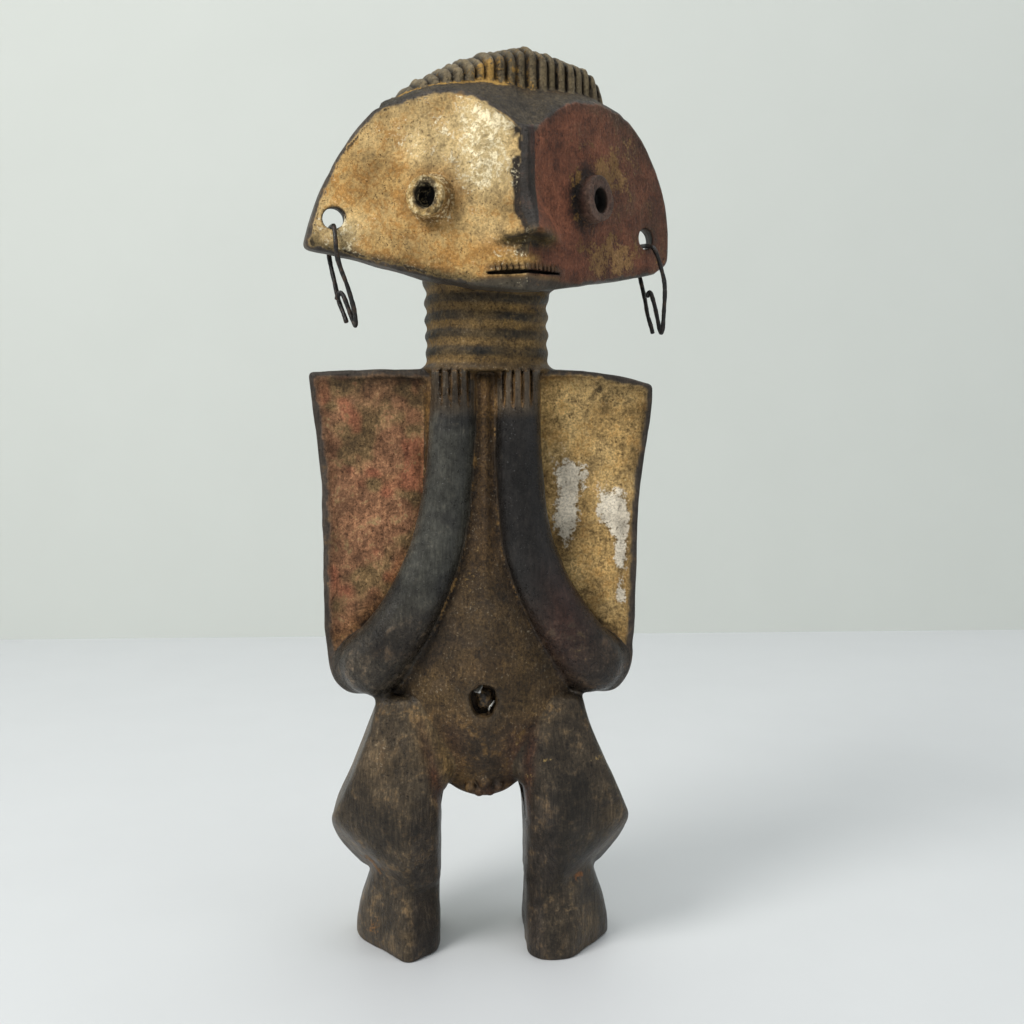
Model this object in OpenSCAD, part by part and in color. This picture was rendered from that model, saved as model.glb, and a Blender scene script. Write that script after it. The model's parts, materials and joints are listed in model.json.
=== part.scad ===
// Carved wooden fertility doll, standing, with bent knees, broad shoulder plates and hands on the chest.
// The face is a wedge of two painted panels. A bent wire earring hangs through a hole near each face tip.
// Right and left are the figure's own. The figure faces -Y and stands on z = 0.

/* [Head] */
// Width of the face from tip to tip
face_w = 168; // [156:2:172]
// Distance from the neck's axis forward to the ridge between the two face panels
ridge_reach = 54; // [50:1:58]
// Thickness of a face panel at the ear hole, front to back
panel_t = 10.6; // [9:0.2:12]
// Height of the crown, the overall height of the figure
crown_z = 400; // [396:1:402]
// Height of the chin, the lowest point of the face
chin_z = 291; // [289:1:292]
// Turn of the head towards the figure's left, in degrees
head_turn = 14; // [0:1:18]
// Number of braids across the hair
braids = 23; // [9:2:23]

/* [Eyes, nose and mouth] */
// Distance of each eye's axis from the ridge, across the face
eye_u = 33; // [28:1:38]
// Height of the eyes
eye_z = 329; // [325:1:333]
// Outer diameter of an eye tube's rim
eye_d = 16; // [14:1:18]
// Length that an eye tube stands out of the face
eye_reach = 8; // [5:0.5:10]
// Diameter of an eye tube's hole
pupil_d = 8; // [6:0.5:9]
// Width of the nose at its base
nose_w = 28; // [22:1:32]
// Width of the mouth
mouth_w = 34; // [26:1:40]

/* [Ears and earrings] */
// Distance of each ear hole from the ridge, across the face
ear_u = 71; // [70:0.5:72]
// Height of the right ear hole
right_ear_z = 323.5; // [322:0.5:325]
// Height of the left ear hole
left_ear_z = 320.2; // [319:0.5:321]
// Diameter of an ear hole
ear_hole_d = 9.6; // [9:0.1:10]
// Diameter of the earring wire
wire_d = 2; // [1.6:0.1:2.1]

/* [Neck and shoulders] */
// Diameter of the neck
neck_d = 55; // [50:1:58]
// Number of carved rings round the neck
neck_rings = 4; // [2:1:6]
// Height of the shoulders
shoulder_z = 260; // [258:1:261]
// Width across the shoulder plates
shoulder_w = 149; // [144:1:154]
// Thickness of a shoulder plate at its rim
plate_t = 20; // [16:1:24]
// Depth of the painted panel below the plate's rim
panel_depth = 4; // [2:0.5:6]
// Width of the rim round a painted panel
rim_w = 4.5; // [3:0.5:6]

/* [Arms] */
// Thickness of a forearm at the hand
hand_t = 20; // [18:1:21]
// Thickness of a forearm at the elbow
elbow_t = 27; // [24:1:29]
// Number of fingers on each hand
fingers = 5; // [4:1:5]

/* [Body and legs] */
// Width across the hips
hip_w = 94; // [88:1:98]
// Width across the knees
knee_w = 136; // [128:1:140]
// Width of a foot
foot_w = 39; // [36:1:40]
// Length of a foot
foot_l = 58; // [52:1:62]
// Gap between the legs
leg_gap = 38; // [34:1:42]
// Height of the navel
navel_z = 117.5; // [115:0.5:120]
// Diameter of the navel hole
navel_d = 12; // [11:0.5:13]

/* [Hidden] */
$fn = 64;
// The figure's own axis, placed so that the origin is below the middle of the whole part
axis_x = -6;
axis_y = 8.5;
head_x = 4.5;
neck_x = 2.6;
face_half = face_w / 2;
slope = atan2(ridge_reach, face_half);
tip_t = panel_t - 3.4;
ridge_t = panel_t + 4.4;
head_depth = 120;
neck_top = 294;
neck_r = neck_d / 2;
skull_r = 49;
skull_back = -2;
dome_r = 56;
dome_z = crown_z - dome_r;
cap_t = 5;
braid_depth = 3;
braid_pitch = 2 * skull_r / braids;
hair_tilt = 28;
hair_front_z = 374;
chest_back = 27;
plate_front = -plate_t / 2 - 2;
knee_half = knee_w / 2;
hip_half = hip_w / 2;
gap_half = leg_gap / 2;
elbow_r = elbow_t / 2;
hand_r = hand_t / 2;
wire_r = wire_d / 2;
white_clay = [0.82, 0.72, 0.47];
red_clay = [0.42, 0.23, 0.19];
dark_wood = [0.27, 0.24, 0.2];
black_wood = [0.2, 0.19, 0.19];
crusted = [0.4, 0.31, 0.18];
ochre = [0.56, 0.44, 0.27];

// Wire routes in the head's own frame: across the face, back from the neck's axis, up
right_wire = [
    [-68.9, -0.6, 290.2], [-68.6, -0.8, 291.8], [-67.6, -1.4, 293], [-66.4, -2.2, 291.6],
    [-65.2, -3.4, 288], [-63.8, -5, 283.4], [-62.8, -6, 280.2], [-62.2, -7.2, 278.8],
    [-62.3, -8.5, 280.4], [-62.8, -9, 284], [-63.9, -10, 288], [-66.4, -12.2, 295],
    [-69.2, -13, 302], [-70.9, -13.4, 308], [-71.2, -12.8, 314], [-71.4, -11.4, 318],
    [-71.4, -9, 320.1], [-71.3, -4, 320.5], [-71.2, 1.8, 320.4], [-71.1, 5.2, 319],
    [-71.1, 6.8, 315.4], [-71, 7.2, 310], [-70.2, 6, 304], [-69.2, 4, 298],
    [-67.8, 2.2, 290], [-65.9, -0.4, 283.5], [-65.1, -1.4, 280.5]
];
left_wire = [
    [75.4, -0.6, 294.8], [75.6, -0.8, 296.4], [76.4, -1.4, 297], [77.2, -2.2, 294.6],
    [78.2, -3.4, 289.6], [79, -4.6, 284], [79.6, -5.6, 279.6], [79.9, -6.8, 278],
    [80, -8, 279.8], [80, -8.8, 284], [79.9, -9.6, 289], [79.6, -11, 295],
    [78.6, -12.4, 301], [76.4, -13.2, 307.4], [74.8, -12.6, 312.8], [73.6, -10.8, 316],
    [72.8, -7.4, 317.2], [72.2, -2.6, 317.7], [72.4, 2.6, 317.6], [73.2, 6.2, 316.4],
    [74.3, 8.4, 312.4], [75.3, 8.8, 306], [76, 7, 300], [76.3, 4.2, 294],
    [76.6, 1.8, 287], [77.5, -0.6, 281], [78, -1.2, 278.2]
];

// Puts a child in the part's frame from the figure's own frame
module stand() {
    translate([axis_x, axis_y, 0]) children();
}

// Puts a child in the part's frame from the turned head's frame
module on_head() {
    stand() translate([head_x, 0, 0]) rotate([0, 0, head_turn]) children();
}

// Stands an outline, drawn as across and up, between two depths
module upright(front, back) {
    translate([0, back, 0]) rotate([90, 0, 0]) linear_extrude(height = back - front) children();
}

// Stands a side outline, drawn as depth and up, between two distances across
module sideways(low, high) {
    translate([low, 0, 0]) rotate([90, 0, 90]) linear_extrude(height = high - low) children();
}

// ---- head ----

// Plan of one face panel: a slab that runs from the ridge back to the tip
module panel_plan(side) {
    polygon([[0, -ridge_reach], [side * face_half, 0], [side * (face_half - 3), tip_t],
        [0, -ridge_reach + ridge_t]]);
}

// Everything in front of the back of both face panels
module front_zone() {
    translate([0, 0, chin_z - 10]) linear_extrude(height = head_depth)
        polygon([[0, -ridge_reach + ridge_t], [face_half - 3, tip_t], [face_half + 20, tip_t],
            [face_half + 20, -head_depth], [-face_half - 20, -head_depth],
            [-face_half - 20, tip_t], [3 - face_half, tip_t]]);
}

// Front view of the right panel, with a long even curve down to its tip
module right_outline() {
    intersection() {
        translate([18, 296.5]) circle(r = face_half + 18);
        polygon([[0, chin_z], [0, 355], [-4, 359], [-19, 370.5], [-28, 372.5], [-52, 372],
            [-face_half - 20, 372], [-face_half - 20, 313], [-82, 311], [-46, 300.6], [-17, 292.8]]);
    }
}

// Front view of the left panel, which is fuller above its tip
module left_outline() {
    intersection() {
        translate([face_half - 58.5, 319.5]) circle(r = 61);
        polygon([[0, chin_z], [0, 355], [3.5, 356], [12, 364], [24.5, 371.3], [46, 373.5],
            [face_half + 20, 374], [face_half + 20, 314], [85.5, 311], [78, 305], [60, 301.6],
            [27, 294.4]]);
    }
}

module ear_bore(side, z) {
    translate([side * ear_u, head_depth / 2, z]) rotate([90, 0, 0])
        cylinder(d = ear_hole_d, h = head_depth);
}

module mouth_cut() {
    translate([-mouth_w / 2, -ridge_reach - 1, 298.2]) cube([mouth_w, 15, 1.8]);
}

module right_face() {
    color(white_clay) on_head() difference() {
        intersection() {
            upright(-head_depth, head_depth) right_outline();
            translate([0, 0, chin_z - 10]) linear_extrude(height = head_depth) panel_plan(-1);
        }
        ear_bore(-1, right_ear_z);
        mouth_cut();
    }
}

module left_face() {
    color(red_clay) on_head() difference() {
        intersection() {
            upright(-head_depth, head_depth) left_outline();
            translate([0, 0, chin_z - 10]) linear_extrude(height = head_depth) panel_plan(1);
        }
        ear_bore(1, left_ear_z);
        mouth_cut();
    }
}

// Smooth band that slopes back from the top of the ridge to the hair
module brow() {
    color(dark_wood) on_head() difference() {
        intersection() {
            sideways(-28, 24.4) polygon([[-ridge_reach, 354], [-46, 368], [-38, 377], [-26, 377],
                [-26, 354]]);
            union() {
                translate([0, 0, 350]) linear_extrude(height = 30) panel_plan(-1);
                translate([0, 0, 350]) linear_extrude(height = 30) panel_plan(1);
            }
        }
        upright(-head_depth, head_depth) right_outline();
        upright(-head_depth, head_depth) left_outline();
    }
}

// Solid of revolution of the skull with its hair on: a flat dome over a round side that narrows below
module skull_solid(inset) {
    translate([0, skull_back, 0]) rotate_extrude($fn = 96) intersection() {
        translate([0, dome_z]) circle(r = dome_r - inset);
        translate([-62, 350]) circle(r = 62 + skull_r - inset);
        translate([0, neck_top]) square([skull_r, crown_z - neck_top]);
    }
}

// Space above the hairline, which falls from the brow to the nape
module hair_space() {
    translate([0, -38, hair_front_z]) rotate([-hair_tilt, 0, 0])
        translate([-70, -40, 0]) cube([140, 160, 80]);
}

module skull() {
    color(dark_wood) on_head() difference() {
        skull_solid(0);
        front_zone();
        difference() {
            hair_space();
            skull_solid(cap_t);
        }
    }
}

module hair() {
    color(crusted) on_head() difference() {
        intersection() {
            skull_solid(0);
            hair_space();
        }
        skull_solid(cap_t);
        front_zone();
        for (i = [0 : braids - 2])
            translate([(i + 1) * braid_pitch - skull_r - 0.7, -60, 300])
                difference() {
                    cube([1.4, 120, 110]);
                    translate([0.7 + skull_r - (i + 1) * braid_pitch, 60, -300])
                        skull_solid(braid_depth);
                }
    }
}

module nose() {
    color(dark_wood) on_head() difference() {
        hull() {
            translate([-1, -ridge_reach - 1.5, 350]) cube([2, 4, 2]);
            translate([-2, -ridge_reach - 3, 330]) cube([4, 6, 2]);
            translate([-2.5, -ridge_reach - 7, 315]) cube([5, 8, 3]);
            translate([-nose_w / 2, -ridge_reach + 5, 312.5]) cube([nose_w, 6, 3]);
        }
        translate([0, 0, 300]) linear_extrude(height = 80)
            polygon([[0, -ridge_reach], [face_half, 0], [-face_half, 0]]);
    }
}

// Tube that stands square on a face panel, with a blind hole
module eye(side, z, width) {
    on_head() translate([side * eye_u, -ridge_reach * (1 - eye_u / face_half), z])
        rotate([90, 0, side * slope]) difference() {
            cylinder(d1 = width + 2, d2 = width, h = eye_reach);
            translate([0, 0, 1]) cylinder(d = pupil_d, h = eye_reach);
        }
}

module right_eye() {
    color(ochre) eye(-1, eye_z - 2, eye_d - 1);
}

module left_eye() {
    color(red_clay) eye(1, eye_z + 2, eye_d + 3);
}

// ---- neck and body ----

module neck() {
    ring_h = (neck_top - shoulder_z - 4) / neck_rings;
    color(crusted) stand() translate([neck_x, 0, 0]) difference() {
        union() {
            translate([0, 0, shoulder_z]) cylinder(r = neck_r + 1.5, h = 4);
            translate([0, 0, shoulder_z]) cylinder(r = neck_r, h = neck_top - shoulder_z);
        }
        for (i = [0 : neck_rings - 1])
            translate([0, 0, shoulder_z + 4 + i * ring_h]) rotate_extrude()
                translate([neck_r + 2, 0]) circle(r = 3);
    }
}

// Front view of the chest, belly and pelvis
module torso_outline() {
    polygon([[-25, shoulder_z], [25, shoulder_z], [25, 190], [26, 150], [36, 124], [hip_half, 113],
        [gap_half - 2, 76], [8, 71], [-4, 71], [2 - gap_half, 76], [-hip_half, 113], [-36, 124],
        [-26, 150], [-25, 190]]);
}

// Side view of the chest, belly, back and seat
module torso_side() {
    polygon([[-21, shoulder_z], [-22, 225], [-24, 180], [-31, 140], [-34, 120], [-31, 98], [-22, 72],
        [-18, 71], [16, 71], [30, 88], [35, 104], [31, 124], [21, 150], [19, 185],
        [chest_back - 2, 240], [chest_back, shoulder_z]]);
}

// Plan of the body: a broad oval that takes the corners off
module body_plan() {
    intersection() {
        translate([0, 62]) circle(r = 96, $fn = 128);
        translate([0, -62]) circle(r = 98, $fn = 128);
    }
}

// The torso's solid, before the navel is cut
module torso_form() {
    intersection() {
        upright(-60, 60) torso_outline();
        sideways(-60, 60) torso_side();
        linear_extrude(height = 300) body_plan();
    }
}

module torso() {
    color(crusted) stand() difference() {
        torso_form();
        translate([0, -22, navel_z]) rotate([90, 0, 0]) cylinder(d = navel_d, h = 40);
    }
}

module navel_charge() {
    color(crusted) stand() translate([0, -22, navel_z]) rotate([90, 0, 0])
        cylinder(d1 = navel_d - 5, d2 = navel_d - 7, h = 8);
}

// Thin sliver set against the wall of the navel hole
module shard(start, sweep) {
    stand() translate([0, -26, navel_z]) rotate([90, 0, 0]) rotate([0, 0, start])
        rotate_extrude(angle = sweep)
            translate([navel_d / 2 - 0.8, 0]) square([0.8, 6]);
}

module navel_shard_upper() {
    color(white_clay) shard(110, 60);
}

module navel_shard_lower() {
    color(white_clay) shard(275, 70);
}

// Front view of a shoulder plate, down to the round of the elbow
module plate_outline(side) {
    polygon([[side * 25, shoulder_z], [side * shoulder_w / 2, shoulder_z - 3],
        [side * (shoulder_w / 2 - 3.5), 226], [side * (shoulder_w / 2 - 4), 140],
        [side * 67, 130], [side * 61, 122], [side * 54, 119.5], [side * 44, 121],
        [side * 36, 124], [side * 26, 150], [side * 25, 190]]);
}

// Space in front of the painted panel, inside the plate's rim
module panel_space(side) {
    upright(-plate_t, plate_front + panel_depth) polygon([
        [side * 20, shoulder_z - rim_w], [side * (shoulder_w / 2 - rim_w), shoulder_z - 3 - rim_w],
        [side * (shoulder_w / 2 - 3.5 - rim_w), 226], [side * (shoulder_w / 2 - 4 - rim_w), 134],
        [side * 55, 134], [side * 20, 190]]);
}

module plate(side) {
    stand() difference() {
        upright(plate_front, plate_t / 2) plate_outline(side);
        panel_space(side);
    }
}

module right_shoulder() {
    color(red_clay) plate(-1);
}

module left_shoulder() {
    color(ochre) plate(1);
}

// Ball on the line of a forearm, from the hand on the chest down and out to the elbow
module arm_ball(side, step) {
    line = [[12, -20, 251, 0], [13.6, -21, 236, 0], [15, -22, 210, 0.15], [18.6, -22.5, 187, 0.3],
        [28, -22, 161, 0.5], [40, -20, 142, 0.8], [54, -15, 132, 1]];
    at = line[step];
    translate([side * at[0], at[1], at[2]])
        sphere(r = hand_r + (elbow_r - hand_r) * at[3], $fn = 28);
}

module forearm(side) {
    stand() difference() {
        union() {
            for (i = [0 : 5])
                hull() {
                    arm_ball(side, i);
                    arm_ball(side, i + 1);
                }
        }
        translate([-100, -100, shoulder_z]) cube([200, 200, 40]);
        for (i = [1 : fingers - 1])
            translate([side * (2 + i * hand_t / fingers) - 0.5, -34, 245]) cube([1, 8, 20]);
        upright(plate_front + panel_depth, 60) plate_outline(side);
        difference() {
            upright(plate_front, 60) plate_outline(side);
            panel_space(side);
        }
        torso_form();
    }
}

module right_forearm() {
    color(black_wood) forearm(-1);
}

module left_forearm() {
    color(black_wood) forearm(1);
}

// ---- legs ----

// Front view of a leg: thigh down to the pointed knee, then the calf and foot
module leg_outline(side) {
    polygon([[side * hip_half, 113], [side * (hip_half + 5), 97], [side * (knee_half - 6), 74],
        [side * knee_half, 59], [side * knee_half, 55], [side * (knee_half - 6), 48],
        [side * 50, 36], [side * 56, 16], [side * 58, 6], [side * 58, 0], [side * gap_half, 0],
        [side * (gap_half + 1), 45], [side * (gap_half - 2), 76]]);
}

// Side view of a leg: knee forward, seat back
module leg_side() {
    polygon([[-28, 116], [-34, 95], [-38, 68], [-38, 55], [-25, 38], [-25, 24], [-32, 8], [-33, 0],
        [25, 0], [25, 8], [16, 26], [14, 44], [26, 66], [34, 88], [34, 104], [31, 116]]);
}

// Plan of the foot: straight sides with round ends
module foot_plan(side) {
    translate([side * (gap_half + foot_w / 2), 0]) union() {
        translate([0, foot_w / 2 - 33]) circle(d = foot_w);
        translate([-foot_w / 2, foot_w / 2 - 33]) square([foot_w, foot_l - foot_w]);
        translate([0, foot_l - 33 - foot_w / 2]) circle(d = foot_w);
    }
}

// Plan of the thigh and knee
module thigh_plan(side) {
    translate([side * 36, 0]) circle(r = 42);
}

module leg(side) {
    stand() difference() {
        intersection() {
            upright(-60, 60) leg_outline(side);
            sideways(-90, 90) leg_side();
            union() {
                linear_extrude(height = 38) foot_plan(side);
                translate([0, 0, 36]) linear_extrude(height = 90) thigh_plan(side);
            }
        }
        intersection() {
            upright(-60, 60) torso_outline();
            linear_extrude(height = 300) body_plan();
        }
    }
}

module right_leg() {
    color(dark_wood) leg(-1);
}

module left_leg() {
    color(dark_wood) leg(1);
}

// ---- earrings ----

wire_sides = 8;

function unit(v) = v / norm(v);
function tangent(p, i) = unit(p[min(i + 1, len(p) - 1)] - p[max(i - 1, 0)]);
function side_axis(t) = unit(cross(t, abs(t[0]) < 0.9 ? [1, 0, 0] : [0, 0, 1]));
function ring(p, i, r) =
    let (t = tangent(p, i), a = side_axis(t), b = cross(t, a))
    [for (k = [0 : wire_sides - 1])
        p[i] + r * cos(360 * k / wire_sides) * a + r * sin(360 * k / wire_sides) * b];

// Round wire swept along a route
module wire(route) {
    n = len(route);
    points = [for (i = [0 : n - 1]) each ring(route, i, wire_r)];
    walls = [for (i = [0 : n - 2], k = [0 : wire_sides - 1])
        let (a = i * wire_sides + k, b = i * wire_sides + (k + 1) % wire_sides)
        [a, a + wire_sides, b + wire_sides, b]];
    start_cap = [for (k = [0 : wire_sides - 1]) k];
    end_cap = [for (k = [wire_sides - 1 : -1 : 0]) (n - 1) * wire_sides + k];
    polyhedron(points, concat(walls, [start_cap, end_cap]), convexity = 6);
}

module right_earring() {
    color(black_wood) on_head() wire(right_wire);
}

module left_earring() {
    color(black_wood) on_head() wire(left_wire);
}

skull();
hair();
right_face();
left_face();
brow();
nose();
right_eye();
left_eye();
neck();
torso();
right_shoulder();
left_shoulder();
right_forearm();
left_forearm();
right_leg();
left_leg();
navel_charge();
navel_shard_upper();
navel_shard_lower();
right_earring();
left_earring();
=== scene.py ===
"""Looks of a carved wooden fertility doll with a two-colour face, shoulder plates and wire earrings.

The wood is one carved block, so its skin is shaped once, as a distance field in millimetres, and is then
shared out among the named regions of the model. Right and left are the figure's own.
"""

import json
import math

import bpy
import numpy as np
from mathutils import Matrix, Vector


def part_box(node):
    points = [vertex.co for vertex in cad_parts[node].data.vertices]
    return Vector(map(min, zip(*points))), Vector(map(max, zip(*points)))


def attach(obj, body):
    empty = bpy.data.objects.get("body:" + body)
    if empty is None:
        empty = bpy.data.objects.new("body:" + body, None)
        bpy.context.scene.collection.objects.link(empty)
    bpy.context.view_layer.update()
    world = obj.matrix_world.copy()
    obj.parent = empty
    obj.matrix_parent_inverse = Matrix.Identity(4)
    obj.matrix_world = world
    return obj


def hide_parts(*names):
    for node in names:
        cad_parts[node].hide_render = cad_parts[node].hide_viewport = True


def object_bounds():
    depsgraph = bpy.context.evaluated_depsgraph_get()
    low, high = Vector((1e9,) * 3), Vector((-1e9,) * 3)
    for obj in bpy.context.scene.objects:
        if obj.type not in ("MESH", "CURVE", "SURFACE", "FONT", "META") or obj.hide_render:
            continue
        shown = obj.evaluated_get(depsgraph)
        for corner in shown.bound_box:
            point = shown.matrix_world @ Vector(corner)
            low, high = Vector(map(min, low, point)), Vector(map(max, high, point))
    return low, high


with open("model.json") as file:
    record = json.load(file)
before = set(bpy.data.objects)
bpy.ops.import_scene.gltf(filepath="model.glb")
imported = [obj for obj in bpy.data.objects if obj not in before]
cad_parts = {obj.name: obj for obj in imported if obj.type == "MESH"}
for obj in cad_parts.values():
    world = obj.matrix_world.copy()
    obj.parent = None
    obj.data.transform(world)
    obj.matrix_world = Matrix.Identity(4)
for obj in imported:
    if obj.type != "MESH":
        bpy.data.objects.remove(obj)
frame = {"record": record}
cad_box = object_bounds()
record = frame["record"]

MM = 0.001
STEP = 0.8  # spacing of the field's samples, mm
SIDES = ((-1, "right"), (1, "left"))

# ---------------------------------------------------------------- places taken from the frame


def box_mm(node):
    low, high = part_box(node)
    return np.array(low) / MM, np.array(high) / MM


torso_low, torso_high = box_mm("torso")
neck_low, neck_high = box_mm("neck")
AXIS_X = (torso_low[0] + torso_high[0]) / 2
AXIS_Y = (neck_low[1] + neck_high[1]) / 2
NECK_X = (neck_low[0] + neck_high[0]) / 2 - AXIS_X
SHOULDER_Z = torso_high[2]
CROWN_Z = box_mm("hair")[1][2]
swing = {joint["name"]: joint for joint in record["behaviour"]["joints"]}
swing_axis = swing["right_earring_swing"]["axis"]
HEAD_TURN = math.atan2(-swing_axis[0], swing_axis[1])
HEAD_X = 4.5  # how far the head's middle lies to the figure's left, mm

# ---------------------------------------------------------------- field helpers


def smooth_min(a, b, k):
    h = np.maximum(k - np.abs(a - b), 0.0) / k
    return np.minimum(a, b) - h * h * k * 0.25


def smooth_max(a, b, k):
    return -smooth_min(-a, -b, k)


def all_of(k, *fields):
    """The intersection of several fields, its edges rounded over k."""
    out = fields[0]
    for other in fields[1:]:
        out = smooth_max(out, other, k)
    return out


def curve(t, points):
    """A smooth curve through points given as (t, value), with t rising."""
    ts = np.array([p[0] for p in points], float)
    vs = np.array([p[1] for p in points], float)
    slopes = np.gradient(vs, ts)
    t = np.clip(t, ts[0], ts[-1])
    i = np.clip(np.searchsorted(ts, t) - 1, 0, len(ts) - 2)
    span = ts[i + 1] - ts[i]
    f = (t - ts[i]) / span
    h1 = f * f * (3 - 2 * f)
    h2 = f * (1 - f) * (1 - f)
    h3 = f * f * (f - 1)
    return vs[i] * (1 - h1) + vs[i + 1] * h1 + span * (slopes[i] * h2 + slopes[i + 1] * h3)


def line(t, points):
    """A line through corners given as (t, value), with t rising."""
    return np.interp(t, [p[0] for p in points], [p[1] for p in points])


def lattice(ix, iy, iz, seed):
    """A repeatable random value from 0 to 1 for each lattice point."""
    n = (ix * 374761393 + iy * 668265263 + iz * 2147483647 + seed * 1274126177) & 0xFFFFFFFF
    n = ((n ^ (n >> 13)) * 1274126177) & 0xFFFFFFFF
    return ((n ^ (n >> 16)) & 0xFFFF) / 65535.0


def noise(x, y, z, size, seed):
    """Smooth noise from -1 to 1 with lumps of about the given size."""
    x, y, z = x / size, y / size, z / size
    ix, iy, iz = np.floor(x).astype(np.int64), np.floor(y).astype(np.int64), np.floor(z).astype(np.int64)
    fx, fy, fz = x - ix, y - iy, z - iz
    fx, fy, fz = (f * f * (3 - 2 * f) for f in (fx, fy, fz))
    total = 0
    for dx in (0, 1):
        for dy in (0, 1):
            for dz in (0, 1):
                weight = (fx if dx else 1 - fx) * (fy if dy else 1 - fy) * (fz if dz else 1 - fz)
                total = total + weight * lattice(ix + dx, iy + dy, iz + dz, seed)
    return total * 2 - 1


def capsule_chain(x, y, z, balls, flat=1.0):
    """A limb through balls given as (x, y, z, radius), its depth scaled by flat."""
    best = None
    for (ax, ay, az, ar), (bx, by, bz, br) in zip(balls[:-1], balls[1:]):
        dx, dy, dz = bx - ax, (by - ay) / flat, bz - az
        px, py, pz = x - ax, (y - ay) / flat, z - az
        t = np.clip((px * dx + py * dy + pz * dz) / (dx * dx + dy * dy + dz * dz), 0, 1)
        away = np.sqrt((px - t * dx) ** 2 + (py - t * dy) ** 2 + (pz - t * dz) ** 2)
        part = away - (ar + (br - ar) * t)
        best = part if best is None else np.minimum(best, part)
    return best


# ---------------------------------------------------------------- the head, in its own turned frame

# All sizes are in millimetres. The face is two flat panels that slope back from a ridge in the middle.
FACE_HALF = 84.0
RIDGE_REACH = 54.0
FACE_SLOPE = RIDGE_REACH / FACE_HALF
FACE_COS = FACE_HALF / math.hypot(FACE_HALF, RIDGE_REACH)
DOME_R = 60.0  # the crown's curve from front to back
SKULL_R = 47.5
SKULL_WIDE = 1.06  # the skull's width over its depth
EAR_U = 71.0
EAR_R = 4.5
RIGHT_EAR_Z = 323.6
LEFT_EAR_Z = 320.2
BRAID_PITCH = 4.5
FIRST_CORD, LAST_CORD = -10, 11
MOUTH_U, MOUTH_Z, MOUTH_HALF, MOUTH_TILT = 1.5, 298.9, 15, 0.02

# height, half width and height of the rim, of the hole, flare at the foot, and how pointed the top is
RIGHT_EYE = (329.4, 8.2, 8.2, 4.2, 4.9, 2.2, 0.0)
LEFT_EYE = (331.4, 9.2, 9.0, 4.6, 5.2, 0.8, 0.14)
EYE_REACH = {-1: 9.4, 1: 7.0}
EYE_U = 34.2

FACE_BOTTOM_RIGHT = [(0, 291), (17, 293.2), (35, 297.2), (46, 300.7), (65, 306.7), (83, 312)]
FACE_BOTTOM_LEFT = [(0, 291), (27, 295), (60, 301.5), (78, 305.2), (86, 310)]
FACE_TOP_RIGHT = [(0, 354.5), (4.5, 359), (11, 365.2), (19, 370.4), (27, 372.6), (38, 372), (52, 368)]
FACE_TOP_LEFT = [(0, 354.5), (3.5, 356.5), (12, 364), (24.5, 371.2), (35, 373.3), (46, 373.4), (56, 371)]


def head_frame(x, y):
    """Across and back in the turned head's frame, from the figure's frame."""
    x = x - HEAD_X
    return (x * math.cos(HEAD_TURN) + y * math.sin(HEAD_TURN),
            -x * math.sin(HEAD_TURN) + y * math.cos(HEAD_TURN))


def panel_outline(u, z, side):
    """Signed distance outside the front outline of one face panel."""
    across = u * side
    if side < 0:
        arc = np.hypot(across + 17.8, z - 296.6) - 101.4
        top, bottom = FACE_TOP_RIGHT, FACE_BOTTOM_RIGHT
    else:
        arc = np.hypot(across - 27.5, z - 319.5) - 59.8
        top, bottom = FACE_TOP_LEFT, FACE_BOTTOM_LEFT
    above = (z - curve(across, top)) * 0.86
    below = (line(across, bottom) - z) * 0.97
    return smooth_max(smooth_max(arc, above, 2.0), below, 3.0)


def face_front(u, v):
    """Signed distance in front of the two sloping panels."""
    bulge = 1.0 * np.exp(-((np.abs(u) - 40) / 24) ** 2)
    return ((-RIDGE_REACH + FACE_SLOPE * np.abs(u)) - v) * FACE_COS - bulge


def face_back(u, v):
    """Signed distance behind the back of the two panels, which thin out towards the tips."""
    return (v - (7.4 + (np.abs(u) - 81) * 0.57)) * 0.87


def eye_frame(u, v, side):
    """Distance out from a face panel at its eye, and across it."""
    du, dv = u - side * EYE_U, v + RIDGE_REACH - FACE_SLOPE * EYE_U
    out_u, out_v = side * FACE_SLOPE * FACE_COS, -FACE_COS
    return du * out_u + dv * out_v, -du * out_v + dv * out_u


def eye_field(u, v, z, side, shape):
    """A tube that stands square on a panel, and its blind hole."""
    height, wide, tall, hole_wide, hole_tall, flare, point = shape
    along, across = eye_frame(u, v, side)
    up = z - height
    lift = tall * (1 + point * np.clip(up / tall, 0, 1) ** 2)
    mean = (wide + tall) / 2
    radius = np.hypot(across / wide, up / lift) * mean
    wall = radius - (mean + flare * np.clip(1 - along / 7.0, 0, 1.4) ** 1.6)
    tube = smooth_max(smooth_max(wall, along - EYE_REACH[side] + 0.02 * up, 0.8), -along - 6, 1.0)
    bore = (np.hypot(across / hole_wide, up / hole_tall) - 1) * hole_wide + 0.12 * (EYE_REACH[side] - along)
    return tube, smooth_max(bore, 1.5 - along, 1.0)


# the nose and the ridge above it: half width, and reach in front of the panels, by height
NOSE_WIDTH = [(308, 14), (312, 14), (316, 12), (321, 7.5), (328, 4.2), (336, 2.6), (352, 2.6), (358, 2.2)]
NOSE_REACH = [(308, 10.5), (313, 10.5), (317, 8.6), (322, 5.4), (330, 2.8), (340, 1.5), (354, 1.1),
              (358, 0.5)]


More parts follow.
